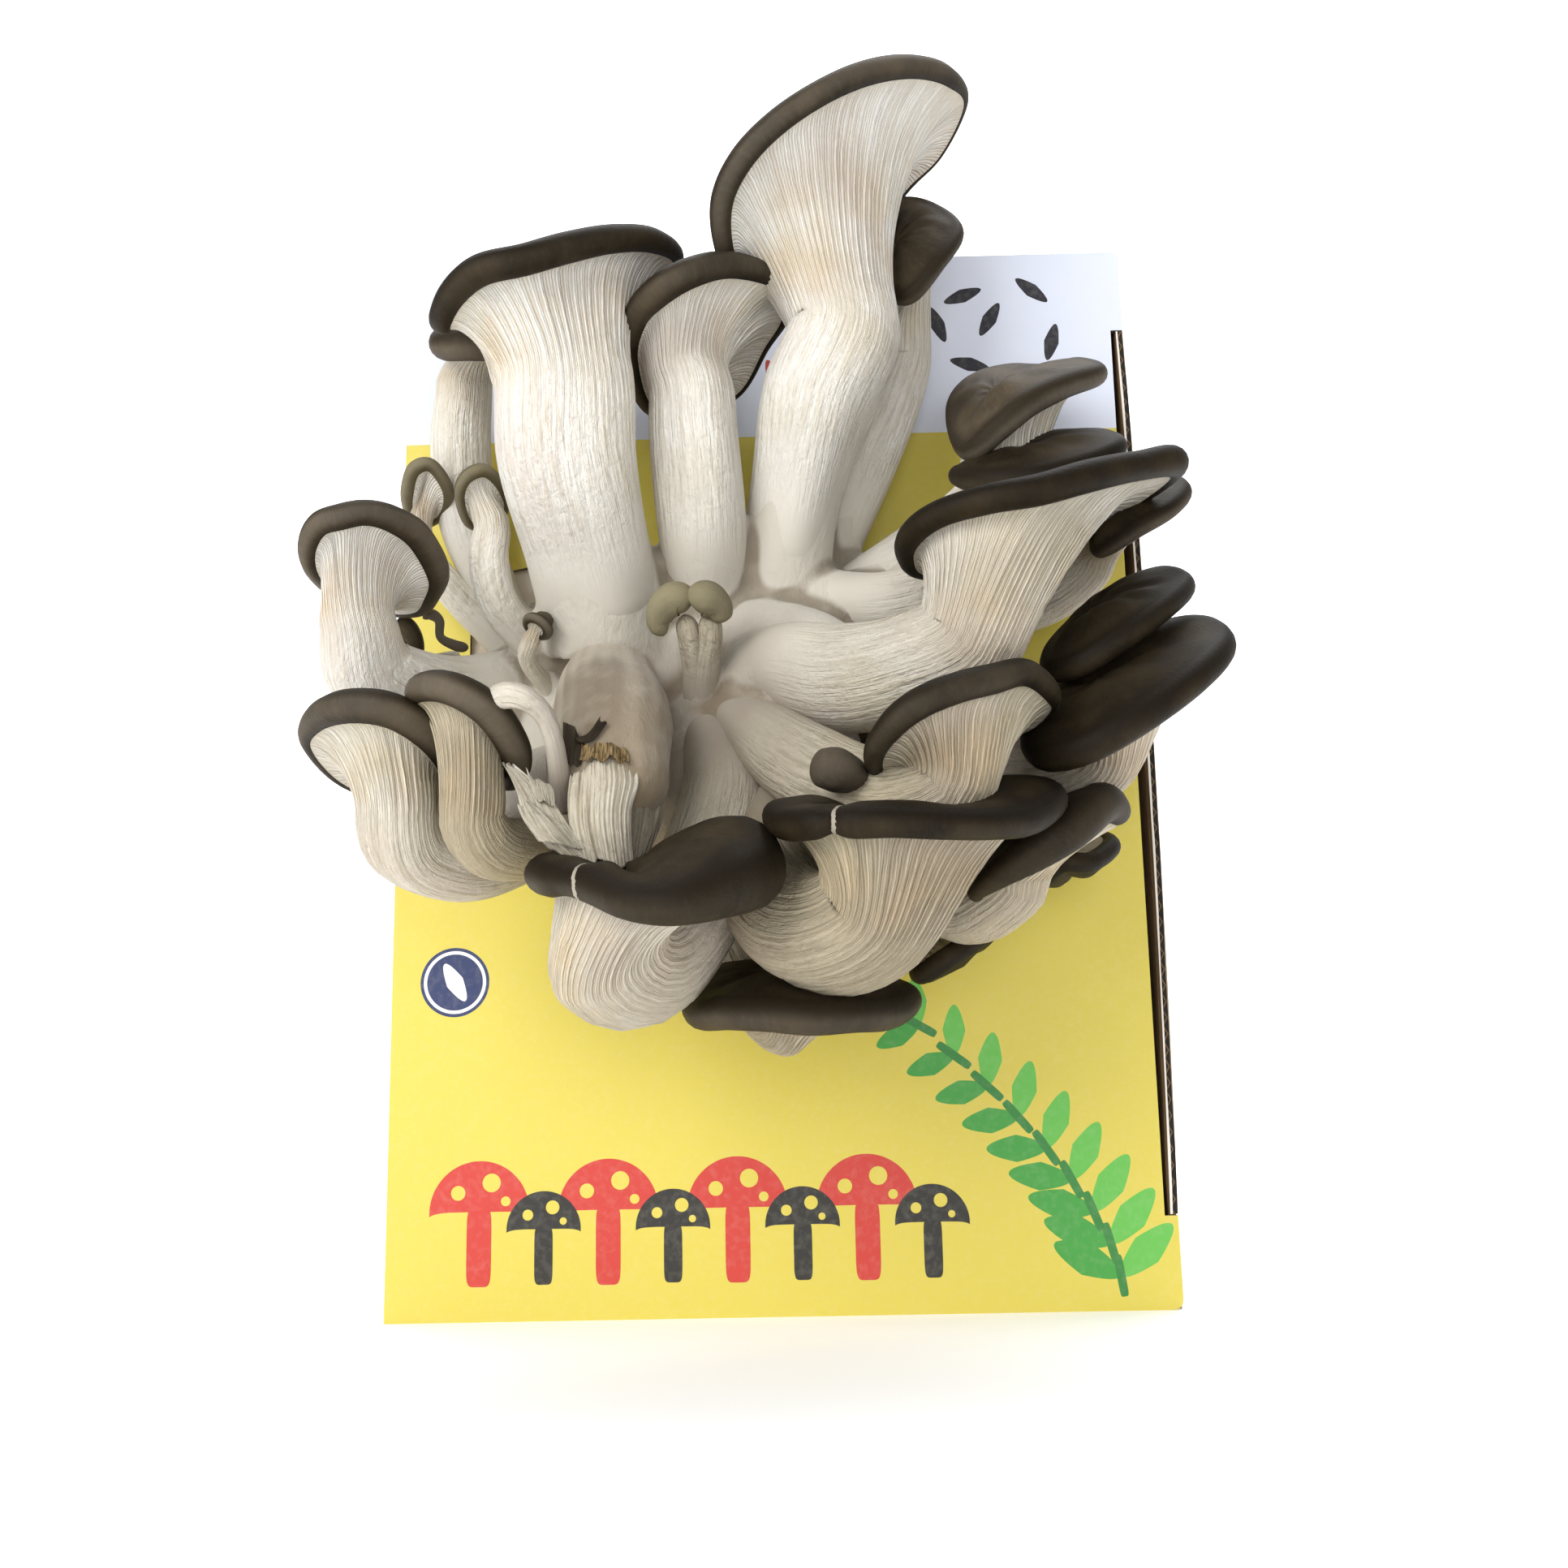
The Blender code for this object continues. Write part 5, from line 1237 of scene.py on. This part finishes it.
class GROWKIT_OT_foot(bpy.types.Operator):
    """The white foot of the cluster, fused from a dome and the roots of the stems"""
    bl_idname = "growkit.foot"
    bl_label = "Cluster foot"

    def execute(self, context):
        parts = [self.dome()]
        for rows in ARMS:
            parts.append(self.root(rows))
        for shape in MUSHROOMS.values():
            parts.append(self.root(shape["stem"][:3], swell=True))
        for stem, _ in TWINS.values():
            parts.append(self.root(stem[:3], swell=True))
        parts = [ring_part(grid, np.zeros(len(grid) - 1, int), {}) for grid in parts]
        foot = mesh_from_parts("foot_white", parts, [])
        remesh = foot.modifiers.new("fuse", "REMESH")
        remesh.mode, remesh.voxel_size = "VOXEL", FOOT_VOXEL * MM
        smooth = foot.modifiers.new("soften", "SMOOTH")
        smooth.factor, smooth.iterations = 0.6, 6
        graph = context.evaluated_depsgraph_get()
        made = bpy.data.meshes.new_from_object(foot.evaluated_get(graph), depsgraph=graph)
        foot.modifiers.clear()
        foot.data = made
        self.crease(made)
        made.materials.clear()
        made.materials.append(cotton_material())
        made.shade_smooth()
        ready(foot, ["cluster_foot"])
        return {"FINISHED"}

    def crease(self, mesh):
        """Stores how hollow the surface is: the mean step from a point to its neighbours
        along the point's normal, averaged over a few rings of neighbours."""
        count = len(mesh.vertices)
        points, normals = np.empty(count * 3), np.empty(count * 3)
        mesh.vertices.foreach_get("co", points)
        mesh.vertices.foreach_get("normal", normals)
        points, normals = points.reshape(-1, 3) / MM, normals.reshape(-1, 3)
        ends = np.empty(len(mesh.edges) * 2, int)
        mesh.edges.foreach_get("vertices", ends)
        one, other = ends.reshape(-1, 2).T
        near = np.bincount(ends, minlength=count)

        def mean_near(values):
            """The mean of the values of each point's neighbours."""
            total = np.bincount(one, values[other], count) \
                + np.bincount(other, values[one], count)
            return total / np.maximum(near, 1)

        means = np.stack([mean_near(points[:, axis]) for axis in range(3)], axis=1)
        hollow = np.sum((means - points) * normals, axis=1)
        for _ in range(CREASE_ROUNDS):
            hollow = 0.5 * hollow + 0.5 * mean_near(hollow)
        attribute = mesh.attributes.new("crease", "FLOAT", "POINT")
        attribute.data.foreach_set("value", hollow * CREASE_GAIN)

    def dome(self):
        """Rings of the dome, ellipses whose size shrinks away from the lid: the middle plus
        the angle's cosine by half the width and its sine by half the height. The rings at
        the lid are squarer, by the larger of cosine and sine to the power -0.35."""
        angles = round_angles(DOME_SIDES)
        rings = []
        for out, wide, high, x, z in FOOT:
            square = 1.0
            if out < 0.5:
                square = np.maximum(np.abs(np.cos(angles)), np.abs(np.sin(angles)))
                square = 1.0 / square ** 0.35
            rings.append(np.stack([x + square * np.cos(angles) * wide,
                                   np.full_like(angles, LID_FACE - out),
                                   z + square * np.sin(angles) * high], axis=1))
        return np.array(rings)

    def root(self, rows, swell=False):
        """Rings of a root: a tube along its centre line. A stem's root is its first part,
        a little wider than the stem at its start and sunk into it at its end."""
        points = placed(rows)
        line, tangents = smooth_line(points, ROOT_ROWS)
        if swell:
            line, tangents = line[:ROOT_END], tangents[:ROOT_END]
            line[:, 3] *= np.linspace(1.12, 0.9, ROOT_END)
        first, second = carried_axes(tangents, np.array([1.0, 0.1, 0.2]))
        return rings_round(line, line[:, 3:], first, second, round_angles(ROOT_SIDES))


def nodes_of(name):
    """The CAD nodes that a mushroom stands for: a small one is a single node, the others
    have one for the cap and one for the stem."""
    if name in BARE_NAMES:
        return [name]
    return ["mushroom_" + name] if name in SMALL else ["cap_" + name, "stem_" + name]


def grow(context, names):
    """Builds some of the mushrooms, each standing for its CAD nodes."""
    settings = context.scene.growkit_mushrooms
    flesh, skin = flesh_material(), skin_material()
    for name in names:
        shape = MUSHROOMS[name]
        rows = SMALL_ROWS if shape["gills"] < SMALL_GILLS else FULL_ROWS
        grid, along, blade, fibre = mushroom_grid(shape, seed_of(name), settings, rows)
        zones = (along[:-1, 0] >= GILLS_END).astype(int)
        values = {"along": along, "blade": blade, "fibre": fibre,
                  "dull_and_shade": shape["dull_and_shade"], "pale": shape["pale"],
                  "lines": 3 * shape["gills"]}
        obj = mesh_from_parts("mushroom_" + name, [ring_part(grid, zones, values)],
                              [flesh, skin])
        ready(obj, nodes_of(name))


class GROWKIT_OT_upper(bpy.types.Operator):
    """The upright mushrooms at the top of the cluster"""
    bl_idname = "growkit.upper"
    bl_label = "Upper mushrooms"

    def execute(self, context):
        grow(context, UPPER)
        return {"FINISHED"}


class GROWKIT_OT_left(bpy.types.Operator):
    """The mushrooms that lean out to the left"""
    bl_idname = "growkit.left"
    bl_label = "Left mushrooms"

    def execute(self, context):
        grow(context, LEFT)
        return {"FINISHED"}


class GROWKIT_OT_lower(bpy.types.Operator):
    """The mushrooms that hang below the foot and turn up"""
    bl_idname = "growkit.lower"
    bl_label = "Lower mushrooms"

    def execute(self, context):
        grow(context, LOWER)
        return {"FINISHED"}


class GROWKIT_OT_right(bpy.types.Operator):
    """The mushrooms that fan out to the right"""
    bl_idname = "growkit.right"
    bl_label = "Right mushrooms"

    def execute(self, context):
        grow(context, RIGHT)
        return {"FINISHED"}


class GROWKIT_OT_small(bpy.types.Operator):
    """The small young mushrooms between the others"""
    bl_idname = "growkit.small"
    bl_label = "Small mushrooms"

    def execute(self, context):
        grow(context, SMALL)
        return {"FINISHED"}


class GROWKIT_OT_bits(bpy.types.Operator):
    """The torn mushroom, the curl and the withered bits"""
    bl_idname = "growkit.bits"
    bl_label = "Torn and withered bits"

    def execute(self, context):
        for name, (rows, dull_and_shade, pale) in TUBES.items():
            dark = name in DARK_TUBES
            made = skin_material() if dark else flesh_material()
            if name == "stem_torn":
                made = cotton_material()
            part = self.tube(rows, seed_of(name), dark, dull_and_shade, pale)
            obj = mesh_from_parts("bit_" + name, [part], [made])
            ready(obj, [name])
        for name, (stem, lobe) in TWINS.items():
            seed = seed_of(name)
            parts = [self.tube(stem, seed, False, 1.35, 2.0),
                     self.tube(lobe, seed, True, 0, 2.0)]
            obj = mesh_from_parts("mushroom_" + name, parts,
                                  [flesh_material(), skin_material()])
            ready(obj, ["mushroom_" + name])
        rng = np.random.default_rng(5)
        parts = [self.sheet(rng, **entry) for entry in TORN_SHEETS]
        obj = mesh_from_parts("bit_cap_torn", parts, [
            flesh_material(), skin_material(), withered_material()])
        ready(obj, ["cap_torn"])
        return {"FINISHED"}

    def tube(self, rows, seed, dark, dull_and_shade, pale):
        """A tube of rings round a centre line. Its radius is the line's, by the root of
        1 - t squared over the last 15% so that it ends round (a dark one begins so too),
        by 1 plus random lumps and wrinkles."""
        rng = np.random.default_rng(seed)
        points = placed(rows)
        girth = points[:, 3].mean()
        line, tangents = smooth_line(points, TUBE_ROWS)
        first, second = carried_axes(tangents, np.array([1.0, 0.1, 0.2]))
        angles = round_angles(TUBE_SIDES)
        up = np.linspace(0.0, 1.0, TUBE_ROWS)[:, None]
        taper = np.sqrt(np.clip(1 - np.clip((up - 0.85) / 0.15, 0, 1) ** 2, 0.02, 1))
        if dark:
            taper = taper * taper[::-1]
        wrinkles = ripple(rng, angles[None], up, 9, 22, 6.0)
        radius = line[:, 3:4] * taper * (1 + 0.06 * ripple(rng, angles[None], up, 6, 3, 6.0)
                                         + (0.012 if girth > 8 else 0.008) * wrinkles)
        grid = rings_round(line, radius, first, second, angles)
        along = np.repeat(up * 0.2 + 2.3 if dark else up * 0.75, TUBE_SIDES, axis=1)
        fibre = on_cylinder(girth, angles, np.repeat(up * 30, TUBE_SIDES, axis=1))
        # A made-up hollowness that the cotton finish turns into painted shade: a darker band over
        # the middle of the tube, and along its wrinkles
        crease = 0.04 + 0.15 * blend(0.3, 0.5, up) * (1 - blend(0.7, 1.0, up)) \
            + 0.05 * wrinkles + 0.05 * ripple(rng, angles[None], up, 6, 4, 9.0)
        zones = np.full(TUBE_ROWS - 1, int(dark and pale == 2.0))
        values = {"along": along, "blade": 0.5, "crease": crease, "fibre": fibre,
                  "dull_and_shade": dull_and_shade, "pale": pale, "lines": 12}
        return ring_part(grid, zones, values)

    def sheet(self, rng, left, right, kind, bow, pleats, fold, ragged, ribs):
        """A thin sheet whose rows run from its left edge line to its right one, bowed and
        pleated forward, and torn at both ends: each column starts and stops elsewhere.
        Its points move along its normal by bow times 4 a (1 - a), where a runs across,
        plus the pleats, which are sines of a, less the ribs."""
        rows, columns, thick = 36, 90, 0.6
        zone, dull_and_shade, pale = TORN_KINDS[kind]
        across = np.linspace(0.0, 1.0, columns)
        jags = rng.uniform(0.0, 1.0, (2, ribs[0] // 2 + 4)) ** 1.6
        spots = np.linspace(0.0, 1.0, jags.shape[1])
        teeth = np.stack([np.interp(across, spots, row) for row in jags]) \
            + rng.uniform(0.0, 0.06, (2, columns))
        begin, end = ragged * teeth[0], 1 - ragged * teeth[1]
        down = begin + (end - begin) * np.linspace(0.0, 1.0, rows)[:, None]
        lines = []
        for points in (left, right):
            dense, _ = smooth_line(placed(points), 60)
            lines.append(np.stack([np.interp(down, np.linspace(0, 1, 60), dense[:, axis])
                                   for axis in range(3)], axis=-1))
        middle = lines[0] * (1 - across)[None, :, None] + lines[1] * across[None, :, None]
        wave = np.sin(2 * math.pi * pleats * (across + 0.12 * np.sin(4 * across + 1))
                      + 1.3 * np.sin(5 * down + 2 * across))
        wave = wave * (0.75 + 0.5 * ripple(rng, 2 * math.pi * across[None], down, 5, 4, 3.0))
        fine = ripple(rng, 2 * math.pi * across[None], down, 12, 26, 5.0)
        turn = 2 * math.pi * ribs[0] * (across + 0.02 * np.sin(9 * across) + 0.015 * down)
        rib = np.abs(np.sin(turn / 2)) ** 1.5 * (0.6 + 0.4 * np.sin(3 * turn / 7 + 2 * down))
        push = bow * 4 * across * (1 - across) + fold * wave - ribs[1] * rib + 0.1 * fine
        normal = unit(np.cross(np.gradient(middle, axis=1), np.gradient(middle, axis=0)))
        normal = normal * np.sign(-normal[..., 1:2])
        front = middle + push[..., None] * normal
        thin = thick * np.minimum(1.0, 0.25 + 3 * np.minimum(across, 1 - across))
        back = front - thin[None, :, None] * normal
        fibre = np.stack([across[None] * 12 + 0 * down, 0 * down, 14 * down], axis=-1)
        values = {"along": 0.62 if zone == 0 else 2.6, "blade": 0.75 - 0.6 * rib,
                  "fibre": fibre, "dull_and_shade": dull_and_shade, "pale": pale, "lines": 0}
        return sheet_part(front, back, zone, values)


class GROWKIT_PT_panel(bpy.types.Panel):
    """Lists the settings and the build steps"""
    bl_idname = "GROWKIT_PT_panel"
    bl_label = "Grow Kit"
    bl_space_type = "VIEW_3D"
    bl_region_type = "UI"
    bl_category = "Grow Kit"

    def draw(self, context):
        for group in (context.scene.growkit_stage, context.scene.growkit_mushrooms):
            for key in group.__annotations__:
                self.layout.prop(group, key)
        for step_class in STEPS:
            self.layout.operator(step_class.bl_idname)


GROUPS = (("growkit_stage", StageSettings), ("growkit_mushrooms", MushroomSettings))
STEPS = (GROWKIT_OT_stage, GROWKIT_OT_box, GROWKIT_OT_foot, GROWKIT_OT_upper,
         GROWKIT_OT_left, GROWKIT_OT_lower, GROWKIT_OT_right, GROWKIT_OT_small,
         GROWKIT_OT_bits)


def register():
    for name, group in GROUPS:
        bpy.utils.register_class(group)
        setattr(bpy.types.Scene, name, bpy.props.PointerProperty(type=group))
    for entry in (*STEPS, GROWKIT_PT_panel):
        bpy.utils.register_class(entry)


def unregister():
    for entry in reversed((*STEPS, GROWKIT_PT_panel)):
        bpy.utils.unregister_class(entry)
    for name, group in GROUPS:
        delattr(bpy.types.Scene, name)
        bpy.utils.unregister_class(group)


def main():
    """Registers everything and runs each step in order."""
    register()
    for step_class in STEPS:
        group, name = step_class.bl_idname.split(".")
        getattr(getattr(bpy.ops, group), name)()
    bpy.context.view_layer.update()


if __name__ == "__main__":
    main()
